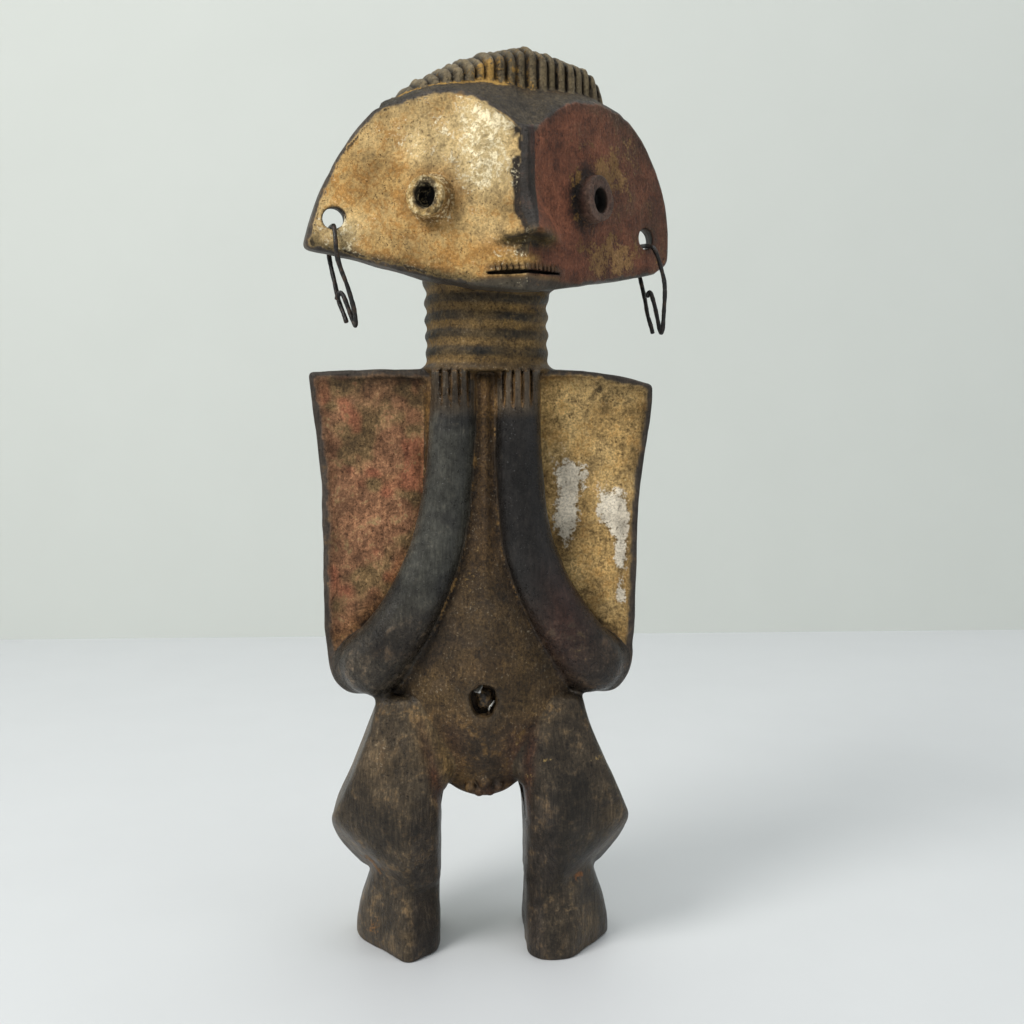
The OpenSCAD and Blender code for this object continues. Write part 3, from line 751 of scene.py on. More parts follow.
def paint_head(paint, here, x, y, z, edge):
    coat, flake = paint.coat, paint.flake
    u, v = head_frame(x, y)
    front = face_front(u, v)
    facing = fade(front, -5.0, -3.0)
    n14 = noise(u, v, z, 14.0, 31)
    n6 = noise(u, v, z, 6.0, 32)
    n2 = noise(u, v, z, 2.4, 33)
    is_eye = here["right_eye"] | here["left_eye"]
    is_nose = here["nose"]
    is_face = here["right_face"] | here["left_face"] | is_eye | is_nose

    hair = here["hair"].astype(float)
    gap = np.abs(cord_place(u, z)[1]) / (BRAID_PITCH / 2)
    coat(hair, (122, 110, 85), (77, 68, 52), mottle=0.5, light=0.2, dark=0.35, rough=0.6, grain=0.3,
         crust=0.6)
    # darker between the cords of hair: painted shade in the grooves between them
    coat(hair * fade(gap + 0.1 * n2, 0.6, 0.95) * 0.85, (44, 36, 27), (60, 47, 31))
    middle = np.clip(spot(u + 6, v + 34, 22, 9) * 1.2 - 0.1, 0, 1)
    coat(hair * middle * fade(gap + 0.5 * n6, 0.4, 0.9) * 0.5, (132, 104, 58), (96, 74, 44), crust=0.8)
    flake(hair * np.clip(0.17 + 0.34 * middle + 0.14 * fade(gap, 0.5, 0.9) + 0.16 * n6, 0, 0.6),
          (168, 132, 70))

    brow = here["brow"].astype(float)
    coat(brow, (67, 59, 45), (42, 37, 29), mottle=0.5, light=0.06, dark=0.25, rough=0.58, grain=1.2,
         crust=0.35)
    to_hair = hair_front(u) - v
    line_of_ochre = brow * fade(to_hair + 1.4 * n6 + 0.6 * n2, 3.4, 0.9) * fade(u, 8, -6) * fade(u, -50,
                                                                                                 -42)
    coat(np.clip(line_of_ochre, 0, 1) * 0.5, (120, 96, 56), (92, 72, 44), crust=0.8)
    flake(np.clip(line_of_ochre, 0, 1) * 0.75, (168, 134, 72))
    coat(brow * fade(to_hair + n6, 3.5, 0.5) * 0.5 * fade(u, -4, 6), (84, 66, 42), crust=0.5)

    skull = here["skull"].astype(float)
    coat(skull, (70, 60, 49), (98, 76, 48), mottle=0.45, light=0.1, dark=0.3, rough=0.6, crust=0.35)

    out_right = panel_outline(u, z, -1)
    out_left = panel_outline(u, z, 1)
    sheet = is_face.astype(float)
    coat(sheet, (66, 60, 54), (92, 72, 46), mottle=0.35, light=0.1, dark=0.3, rough=0.5, crust=0.3)

    # the white side
    ragged = 0.7 * n2 + 0.5 * n6
    stripe = curve(z, [(300, 0), (310, 0.5), (316, 1.4), (322, 2.6), (345, 2.9), (356, 2.6)])
    white = sheet * facing * fade(out_right + ragged, -1.1, -1.9) * fade(u, 0.5 - stripe, -stripe)
    pale = np.clip(0.36 + 0.6 * spot(u + 17, z - 352, 20, 17) + 0.4 * spot(u + 68, z - 317, 9, 6)
                   + 0.25 * spot(u + 14, z - 318, 8, 12) - 0.5 * spot(u + 40, z - 305, 26, 12)
                   - 0.4 * spot(u + 58, z - 340, 16, 20) + 0.35 * n14 + 0.15 * n6, 0, 1)
    coat(white, (198, 166, 110), (140, 106, 60), mottle=0.58, light=0.2, dark=0.2, rough=0.85, grain=0.1,
         crust=0.55)
    coat(white * pale, (220, 200, 154), (184, 150, 98), light=0.3, mottle=0.42, dark=0.15)
    flake(white * (0.20 + 0.34 * pale), (232, 220, 186))
    low_band = fade(out_right + 1.2 * n6, -6.5, -2.0) * fade(z, 322, 312)
    coat(white * low_band * 0.85, (112, 100, 68), (66, 58, 44), light=0.15, dark=0.6, crust=0.7)
    coat(white * spot(u + 11, z - 308, 9, 5) * 0.8, (168, 118, 54), (122, 90, 46))
    chips = white * fade(u + stripe + 2.4 * n2 + 2.2 * n6, -3.0, -1.9)
    coat(chips, (48, 42, 37), (60, 50, 42), light=0, crust=0.3)
    rubbed = white * fade(out_right, -4.5, -1.2) * (0.56 + 0.25 * n14)
    flake(np.where(rubbed > 0.4, rubbed, 0), (62, 56, 46))

    # the red side
    red = sheet * facing * fade(out_left + ragged, -0.7, -1.5) * fade(u, stripe + 0.2, stripe + 0.9)
    worn = np.clip(fade(u, 18, 58) * 0.6 + 0.35 * fade(z, 350, 366) * fade(u, 14, 40) + 0.35 * n14
                   + 0.15 * n6, 0, 1)
    coat(red, (126, 78, 58), (92, 59, 44), mottle=0.45, light=0.1, dark=0.3, rough=0.6, grain=0.4,
         crust=0.5)
    coat(red * worn, (106, 69, 52), (76, 56, 43), mottle=0.6, dark=0.4, light=0.2, grain=0.4, crust=0.7)
    coat(red * fade(out_left, -6, -2) * 0.5, (84, 58, 46), (62, 48, 38))
    flake(red * np.clip(0.42 * spot(u - 46, z - 346, 18, 14) + 0.4 * spot(u - 52, z - 314, 20, 11)
                              + 0.18 + 0.16 * n14 + 0.16 * n6 + 0.1 * fade(z, 325, 305), 0, 0.6),
          (134, 104, 68))

    # the dark strip down the ridge, the nose and the mouth
    strip = sheet * facing * (u > 0.2 - stripe) * (u < stripe + 0.5) * fade(z, 313, 318)
    coat(strip, (44, 39, 35), (60, 44, 37), mottle=0.4, light=0.05, dark=0.3, rough=0.45, crust=0.4)
    coat(strip * fade(z, 334, 352) * 0.4 * fade(u, 0, 2), (84, 48, 40))
    # dark olive paint along the nose's lower edge, deepened as painted shade under its ledge
    tip = sheet * facing * spot(np.maximum(np.abs(u - 1.5) - 8, 0), z - 311.8, 4.5, 2.8)
    coat(np.clip(tip * 1.1, 0, 1), (92, 79, 46), (54, 47, 33), mottle=0.5, light=0.05, dark=0.45, crust=0.8)
    stroke = sheet * facing * fade(np.abs(u + 0.5 + n6) - 8, 1.5, -1)
    for height in (309.6, 313.0):
        coat(stroke * fade(np.abs(z - height - 0.6 * n6) - 0.2, 0.8, 0) * 0.9, (46, 40, 30))
    lip = sheet * facing * fade(np.abs(u - 1) - 15, 3, -1)
    coat(lip * spot(0, z - 304.0, 1, 2.0) * fade(u, 9, 2) * 0.9, (186, 152, 92), (136, 100, 52), crust=0.7)
    coat(lip * spot(0, z - 301.0, 1, 1.5) * 0.85, (108, 80, 42), (70, 54, 36), dark=0.6)
    coat(lip * spot(0, z - 296.8, 1, 1.2) * 0.9, (140, 106, 56), (100, 76, 44))
    chin_top = 296.6 - 0.0016 * (u - 2) ** 2
    chin = sheet * facing * fade(z + 0.7 * n6, chin_top + 1.2, chin_top - 1.0) * fade(np.abs(u - 3), 34, 22)
    coat(chin * 0.92, (66, 62, 54), (50, 46, 41), mottle=0.5, light=0.06, dark=0.4, crust=0.25, rough=0.55)

    # eyes
    right_eye = here["right_eye"].astype(float)
    away = np.hypot((u + EYE_U) / 0.9, z - RIGHT_EYE[0])
    coat(white * fade(away, 16, 10) * 0.5, (170, 128, 72), (128, 94, 50))
    coat(right_eye, (190, 160, 104), (140, 108, 62), mottle=0.45, light=0.5, dark=0.35, crust=0.9)
    along, across = eye_frame(u, v, -1)
    # the tube's outer wall painted darker than its rim: painted shade on the wall
    coat(right_eye * fade(along, 7.6, 5.0) * fade(along, -1.0, 2.5) * 0.8, (128, 98, 58), (84, 64, 40))
    rim = right_eye * fade(along, 7.4, 8.4)
    coat(rim, (188, 162, 112), (138, 112, 72), light=0.4)
    flake(right_eye * 0.42, (222, 204, 160))
    mouth_of_tube = np.hypot(across / RIGHT_EYE[3], (z - RIGHT_EYE[0]) / RIGHT_EYE[4])
    coat(rim * fade(mouth_of_tube + 0.3 * n2, 1.45, 1.25) * 0.8, (60, 54, 42), (40, 36, 30))
    coat(rim * fade(mouth_of_tube + 0.5 * n2 + 0.4 * n6, 1.75, 2.0) * 0.6, (96, 86, 62), (60, 54, 44))
    left_eye = here["left_eye"].astype(float)
    along_left, across_left = eye_frame(u, v, 1)
    away_left = np.hypot(across_left / 0.94, z - 331.8)
    toward_nose = np.clip(0.6 - 0.05 * across_left, 0.25, 1)
    # a dark ring round the left eye's tube, strongest toward the nose: painted shade in the socket, where
    # no groove is cut
    socket = red * (1 - left_eye) * fade(away_left + 1.2 * n6, 18.5, 11.5) * toward_nose
    coat(socket, (42, 33, 26), (70, 53, 36), dark=0.4, crust=1.2)
    flake(red * fade(away_left, 25, 12) * (0.4 + 0.2 * n6) * (0.6 + 0.5 * toward_nose), (138, 106, 62))
    coat(left_eye, (82, 58, 50), (60, 45, 40), mottle=0.45, light=0.1, dark=0.3, grain=0.3, crust=0.7,
         rough=0.5)
    # the foot of the tube painted darker: painted shade where it meets the panel
    coat(left_eye * fade(along_left, 5.0, 2.0) * 0.85, (48, 37, 30), (68, 52, 38))
    coat(left_eye * fade(edge, 0.15, 0.5) * 0.6, (98, 78, 70), (80, 62, 56))
    paint.flakes = np.where(left_eye > 0, 0.0, paint.flakes)
    # the eyes' blind holes painted near black, darker deeper in: painted shade inside the holes
    for side, eye in ((-1, RIGHT_EYE), (1, LEFT_EYE)):
        along, across = eye_frame(u, v, side)
        inside = fade(np.hypot(across / eye[3], (z - eye[0]) / eye[4]), 1.12, 0.98) * (along > -2)
        deep = fade(along, EYE_REACH[side] + 0.3, EYE_REACH[side] - 1.4)
        coat(sheet * inside * (0.35 + 0.65 * deep), (14, 11, 9), (20, 16, 13), light=0, crust=0.1,
             rough=0.7)
    # the ear holes' walls painted dark: painted shade inside the holes
    for side, ear_z in ((-1, RIGHT_EAR_Z), (1, LEFT_EAR_Z)):
        ring = np.hypot(u - side * EAR_U, z - ear_z) - EAR_R
        coat(sheet * fade(ring, 0.5, 0.0), (44, 38, 34), (60, 50, 42), light=0.05, crust=0.3)
    # the mouth's slit painted near black: painted shade in the cut
    slit = fade(mouth_distance(u, z), 0.9, 0.4)
    coat(sheet * slit * facing, (30, 24, 18), (30, 24, 18), light=0)


# the lime patches on the left plate: strength, place, half width and half height
LIME = ((1, 39, 212, 10, 15), (1, 38, 190, 6, 14), (1.2, 60, 197, 7, 12), (1.1, 63, 178, 4, 13),
        (0.8, 63, 160, 3, 5))


def paint_body(paint, here, x, y, z, normal, hollow):
    coat, flake = paint.coat, paint.flake
    n14 = noise(x, y, z, 14.0, 41)
    n6 = noise(x, y, z, 6.0, 42)
    n2 = noise(x, y, z, 2.4, 43)
    neck = here["neck"].astype(float)
    band = 0.5 + 0.5 * neck_wave(x, y, z)
    coat(neck, (130, 107, 68), (80, 66, 45), mottle=0.5, light=0.15, dark=0.5, rough=0.6, grain=0.3,
         crust=0.9)
    coat(neck * fade(band, 0.15, 0.75) * np.clip(0.8 + 0.5 * n14, 0, 1), (48, 44, 36), (66, 56, 38),
         crust=0.7, rough=0.5)
    coat(neck * fade(z + n6, 264.0, 261.0) * 0.7, (116, 92, 54), (92, 72, 44), light=0.3)
    flake(neck * np.clip(0.16 + 0.2 * (1 - band) + 0.3 * n14, 0, 0.5), (140, 112, 66))

    torso = here["torso"].astype(float)
    coat(torso, (80, 65, 44), (48, 40, 31), mottle=0.5, light=0.2, dark=0.4, rough=0.55, grain=0.6,
         crust=0.9)
    n20 = noise(x, y, z * 0.7, 20.0, 44)
    coat(torso * fade(n20 + 0.4 * n6, 0.0, 0.5) * 0.7, (42, 35, 29), (62, 50, 36), crust=0.7)
    coat(torso * fade(n20 + 0.4 * n6, -0.1, -0.6) * 0.6, (96, 78, 50), (70, 56, 38))
    flake(torso * np.clip(0.16 + 0.3 * n14, 0, 0.5), (128, 102, 62))
    front = fade(normal[:, 1], 0.2, -0.2)
    strip = torso * front * fade(z, 150, 195)
    coat(strip * 0.8, (84, 64, 38), (54, 42, 30), mottle=0.5, light=0.25, crust=0.8)
    coat(strip * fade(z + 5 * n6, 225, 250) * 0.7, (120, 92, 52), (84, 62, 38), light=0.3)
    lower = torso * front * fade(z, 122, 100)
    coat(lower, (66, 54, 41), (88, 68, 42), mottle=0.45, crust=0.5)
    coat(lower * spot(np.abs(x) - 15, z - 90, 6, 16) * 0.5, (78, 48, 34), (60, 42, 32))
    belly = torso * front * spot(x - 3, z - 132, 16, 13) * (0.5 + 0.5 * n6)
    coat(np.clip(belly, 0, 1) * 0.5, (96, 74, 44), (74, 57, 35))
    lump = torso * front * spot(x - 0.8, z - 74, 7.5, 4)
    coat(lump * 0.7, (74, 44, 32), (58, 42, 32), crust=0.8)

    for side, name in SIDES:
        u = x * side
        plate = here[name + "_shoulder"].astype(float)
        coat(plate, (62, 55, 50), (84, 66, 46), mottle=0.4, light=0.08, dark=0.3, rough=0.5, grain=0.6,
             crust=0.25)
        depth_in = plate_parts(x, y, z, side)[1]
        panel = plate * front * fade(depth_in + 0.7 * n2, -0.2, 1.2) * (y < 4)
        limb = arm_field(x, y, z, side)
        beside = fade(limb, 5.0, 0.8)
        if side < 0:
            coat(panel, (146, 107, 82), (122, 102, 75), mottle=0.42, light=0.15, dark=0.28, rough=0.8,
                 grain=0.4, crust=0.65)
            upper = fade(z + 14 * n14, 205, 240)
            coat(panel * fade(n14 + 0.6 * n6 + 0.3 * upper, 0.1, 0.45) * 0.85, (126, 107, 76),
                 (134, 98, 75))
            coat(panel * fade(n14 - 0.5 * n6 - 0.2 * upper, 0.2, 0.45) * 0.9, (150, 96, 74), (128, 93, 70))
            flake(panel * np.clip(0.24 + 0.15 * n14, 0, 0.5), (148, 120, 84))
            coat(panel * fade(z, 240, 258) * 0.6, (100, 82, 58), (118, 76, 58))
            coat(panel * fade(limb + 3 * n6, 10, 3) * 0.6, (132, 98, 58), (86, 62, 40), crust=1.5)
        else:
            coat(panel, (188, 160, 110), (142, 114, 72), mottle=0.5, light=0.2, dark=0.3, rough=0.85,
                 grain=0.2, crust=0.9)
            coat(panel * fade(n14 + 0.4 * n6, 0.0, 0.5) * 0.7, (210, 184, 134), (162, 132, 84))
            lime = sum(much * spot(x - at_x, z - at_z, wide, tall) for much, at_x, at_z, wide, tall in LIME)
            flake(panel * np.clip(0.28 + 0.15 * n14, 0, 0.5), (186, 162, 112))
            lime = np.clip(0.72 * lime + 0.16 * n14 + 0.16 * n6, 0, 0.85)
            flake(panel * np.where(lime > 0.3, lime, 0), (226, 218, 202))
            coat(panel * spot(x - 53, z - 250, 3.5, 5) * fade(n2, -0.2, 0.3), (58, 50, 42))
        coat(panel * fade(depth_in, 2.6, 0.4) * 0.55, (72, 58, 42), (90, 66, 42), crust=0.6)
        # next to the forearm at the elbow, dark brown over ochre dust: painted shade cast by the forearm
        coat(plate * front * beside * fade(z, 128, 150) * 0.8, (66, 46, 30), (110, 78, 44), dark=0.5,
             crust=1.0)
        if side > 0:
            # along the left forearm's edge, a dark channel with ochre dust: painted shade beside the
            # forearm
            channel = plate * front * fade(limb + 1.5 * n6, 6.0, 3.0) * fade(z, 176, 200)
            coat(channel * 0.85, (60, 48, 34), (100, 78, 48), mottle=0.6, dark=0.8, light=0.3, crust=1.3)

        arm = here[name + "_forearm"].astype(float)
        cold = (60, 60, 56) if side < 0 else (32, 30, 29)
        coat(arm, cold, (82, 79, 71) if side < 0 else (50, 46, 42), mottle=0.32, light=0.05, dark=0.25,
                   rough=0.30, grain=0.75, crust=0.12)
        coat(arm * fade(n14 + 0.3 * n6, 0.05, 0.5) * 0.7, (34, 33, 33), (52, 49, 45))
        coat(arm * fade(z, 172, 140) * 0.6, (52, 44, 36), (72, 56, 42), mottle=0.5, light=0.16, crust=0.7)
        flake(arm * np.clip(0.02 + 0.26 * n14 + 0.12 * fade(z, 165, 135), 0, 0.4), (96, 78, 54))
        if side > 0:
            coat(arm * spot(x - 36, z - 150, 12, 22) * 0.5, (66, 38, 31), (48, 38, 32))
        hand = arm * fade(z, 238, 246)
        coat(hand, (70, 61, 50), (50, 44, 38), light=0.15, grain=0.9)
        coat(hand * fade(hollow, 0.06, 0.3) * 0.8, (112, 84, 48), (76, 56, 36), crust=0.6)
        other = np.minimum(torso_field(x, y, z), plate_parts(x, y, z, side)[0])
        seam = arm * fade(np.abs(other), 2.2, 0.4) * fade(z, 140, 156)
        coat(seam * (0.35 + 0.3 * n6), (96, 74, 46), (64, 50, 35), crust=0.9, rough=0.7)
        flake(seam * np.clip(0.4 + 0.4 * n6, 0, 0.7), (138, 108, 66))
        near_arm = torso * front * fade(limb, 3.0, 0.6)
        # the torso darker close to the arms near the hands: painted shade in the channel between them; the
        # ochre tint and the flakes below are dust
        coat(near_arm * fade(z, 236, 215) * 0.75, (50, 39, 29), (88, 68, 42), dark=0.4)
        flake(near_arm * fade(z, 236, 215) * np.clip(0.34 + 0.4 * n6, 0, 0.6), (134, 104, 62))

        leg = here[name + "_leg"].astype(float)
        coat(leg, (71, 62, 50), (98, 81, 59), mottle=0.42, light=0.1, dark=0.3, rough=0.42, grain=1.0,
             crust=0.35)
        coat(leg * fade(n20 + 0.4 * n6, 0.05, 0.45) * (0.6 if side < 0 else 0.9), (44, 39, 33),
             (60, 51, 40))
        coat(leg * fade(n20 + 0.3 * n6, -0.15, -0.6) * 0.7, (100, 84, 60), (72, 60, 45), crust=0.6)
        if side > 0:
            coat(leg * 0.5, (44, 39, 33), (58, 50, 40))
        flake(leg * np.clip(0.06 + 0.3 * n14, 0, 0.42), (112, 92, 62))
        # the lower legs' inner faces, which face each other, painted darker: painted shade between the legs
        coat(leg * fade(normal[:, 0] * side, -0.1, -0.6) * fade(z, 90, 60) * 0.7, (48, 43, 40),
             (66, 55, 44))
        coat(leg * fade(z, 100, 112) * 0.6, (70, 60, 46), (100, 78, 48), crust=0.5)
        if side < 0:
            rust = spot(u - 50, z - 40, 9, 6) + 0.75 * spot(u - 51, z - 10, 8, 9)
            flake(leg * front * np.clip(rust * (0.5 + 0.3 * n6), 0, 0.7), (118, 86, 54))
            coat(leg * spot(u - 46, z - 92, 12, 14) * 0.5, (104, 88, 66), (78, 64, 48), light=0.4)
        else:
            nick = spot(u - 43, z - 35, 7, 3) * fade(n2, -0.3, 0.3)
            flake(leg * front * np.clip(nick, 0, 1) * 0.7, (120, 80, 48))
            pale = spot(u - 27.5, z - 90.5, 4, 1.8) + 0.8 * spot(u - 50, z - 90, 5,
                                                                 2.4) + 0.8 * spot(u - 20, z - 83, 3, 4)
            flake(leg * np.clip(pale * 0.62, 0, 0.62), (160, 136, 88))

    # an ochre line along the groin's diagonal: painted highlight
    diagonal = (x + 15 + 0.57 * (z - 88)) * 0.87
    lit = (here["torso"] | here["right_leg"]) * front * spot(diagonal, z - 90, 5.5, 15)
    coat(np.clip(lit * (0.8 + 0.5 * n6), 0, 1) * 0.8, (112, 90, 54), (86, 66, 40), crust=0.8)
    # dark red-brown in the crease between belly and thigh: painted shade in the crease
    crease = groin_crease(x, y, z) * front
    coat(np.clip(crease * (0.9 + 0.5 * n6), 0, 1) * 0.85, (74, 46, 32), (60, 42, 30), crust=0.9)


def finish_skin(points, normals, region):
    """Paint for every vertex, with painted shade in the hollows, and polished on the edges."""
    x, y, z = points.T
    near, far = 3.0, 9
    ahead, behind, wide = (carve(*(points + normals * reach).T)[0] for reach in (near, -near, far))
    hollow = np.clip(1 - ahead / near, 0, 1)
    edge = np.clip(1 + behind / near, 0, 1)
    deep = np.clip(1 - wide / far, 0, 1)
    paint = Paint(len(points))
    here = {name: region == i for i, name in enumerate(REGIONS)}
    paint_head(paint, here, x, y, z, edge)
    paint_body(paint, here, x, y, z, normals, hollow)
    white_ones = paint.tint.mean(1) > 0.16
    u, v = head_frame(x, y)
    painted = white_ones | ((np.abs(u) < 5) & (v < -46) & (z > 306))
    paint.coat(np.clip(edge * 1.4 - 0.25, 0, 1) * 0.4 * ~painted, (72, 66, 57), (50, 45, 39), crust=0.3,
               rough=0.36)
    # painted shade: the colours darkened in the hollows and deep places found from the distance field
    painted_shade = np.clip(hollow * 1.3 - 0.18, 0, 1) * 0.65 + np.clip(deep - 0.25, 0, 1) * 0.3
    shadow = np.clip(1 - painted_shade, 0.2, 1)[:, None]
    for name in Paint.TINTS:
        setattr(paint, name, getattr(paint, name) * shadow)
    return paint


# ---------------------------------------------------------------- meshes


def add_mesh(name, points, faces, normals=None, smooth=True):
    """A mesh object from points in metres."""
    mesh = bpy.data.meshes.new(name)
    mesh.from_pydata(points.tolist(), [], [list(f) for f in faces])
    mesh.validate()
    if smooth:
        mesh.polygons.foreach_set("use_smooth", [True] * len(mesh.polygons))
    if normals is not None:
        mesh.normals_split_custom_set_from_vertices(normals.tolist())
    mesh.update()
    piece = bpy.data.objects.new(name, mesh)
    bpy.context.scene.collection.objects.link(piece)
    return piece


def to_frame(points):
    """From millimetres about the figure's own axis to metres in the part's frame."""
    return (np.asarray(points, float) + [AXIS_X, AXIS_Y, 0]) * MM


def put_attribute(piece, name, values):
    values = np.asarray(values, np.float32)
    if values.ndim == 1:
        layer = piece.data.attributes.new(name, "FLOAT", "POINT")
        layer.data.foreach_set("value", values)
    else:
        layer = piece.data.attributes.new(name, "FLOAT_COLOR", "POINT")
        full = np.ones((len(values), 4), np.float32)
        full[:, :3] = values
        layer.data.foreach_set("color", full.ravel())


def stand_for(piece, node, body, material):
    """Gives a piece its material and slot, and the node that it stands for on a body."""
    piece.data.materials.append(material)
    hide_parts(node)
    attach(piece, body)


# ---------------------------------------------------------------- materials


class Graph:
    """A small helper to write a material's nodes in order."""

    def __init__(self, name):
        self.material = bpy.data.materials.new(name)
        self.material.use_nodes = True
        self.tree = self.material.node_tree
        self.shader = self.tree.nodes["Principled BSDF"]
        self.place = self.add("ShaderNodeTexCoord").outputs["Object"]

    def add(self, kind, **settings):
        node = self.tree.nodes.new(kind)
        for key, value in settings.items():
            setattr(node, key, value)
        return node

    def feed(self, socket, value):
        if isinstance(value, bpy.types.NodeSocket):
            self.tree.links.new(value, socket)
        else:
            socket.default_value = value

    def attribute(self, name, output="Fac"):
        return self.add("ShaderNodeAttribute", attribute_name=name).outputs[output]

    def math(self, operation, first, second, clamp):
        node = self.add("ShaderNodeMath", operation=operation, use_clamp=clamp)
        self.feed(node.inputs[0], first)
        self.feed(node.inputs[1], second)
        return node.outputs[0]

    def plus(self, first, second, clamp=False):
        return self.math("ADD", first, second, clamp)

    def minus(self, first, second):
        return self.math("SUBTRACT", first, second, False)

    def times(self, first, second):
        return self.math("MULTIPLY", first, second, False)

    def mix(self, factor, first, second, blend="MIX"):
        node = self.add("ShaderNodeMix", data_type="RGBA", blend_type=blend)
        self.feed(node.inputs[0], factor)
        self.feed(node.inputs[6], first)
        self.feed(node.inputs[7], second)
        return node.outputs[2]

    def stretched(self, scale):
        node = self.add("ShaderNodeMapping")
        self.feed(node.inputs["Vector"], self.place)
        node.inputs["Scale"].default_value = scale
        return node.outputs[0]

    def noise(self, size, detail=3.0, rough=0.6, stretch=(1, 1, 1), twist=0.0):
        """Noise whose lumps are about size millimetres across."""
        node = self.add("ShaderNodeTexNoise")
        self.feed(node.inputs["Vector"], self.stretched(stretch) if stretch != (1, 1, 1) else self.place)
        node.inputs["Scale"].default_value = 1000.0 / size
        node.inputs["Detail"].default_value = detail
        node.inputs["Roughness"].default_value = rough
        node.inputs["Distortion"].default_value = twist
        return node.outputs[0]

    def cells(self, size, feature="F1"):
        node = self.add("ShaderNodeTexVoronoi", feature=feature)
        self.feed(node.inputs["Vector"], self.place)
        node.inputs["Scale"].default_value = 1000.0 / size
        return node.outputs["Distance"]

    def span(self, value, low, high, out_low=0.0, out_high=1.0):
        node = self.add("ShaderNodeMapRange", interpolation_type="SMOOTHSTEP")
        for socket, item in zip(node.inputs, (value, low, high, out_low, out_high)):
            self.feed(socket, item)
        return node.outputs[0]

    def darker(self, colour, by):
        """A colour multiplied by another, which may also brighten it."""
        return self.mix(1.0, colour, by, "MULTIPLY")

    def surface(self, colour, rough):
        self.feed(self.shader.inputs["Base Color"], colour)
        self.feed(self.shader.inputs["Roughness"], rough)

    def bump(self, height, distance, strength=1.0):
        node = self.add("ShaderNodeBump")
        node.inputs["Distance"].default_value = distance * MM
        node.inputs["Strength"].default_value = strength
        self.feed(node.inputs["Height"], height)
        self.tree.links.new(node.outputs[0], self.shader.inputs["Normal"])


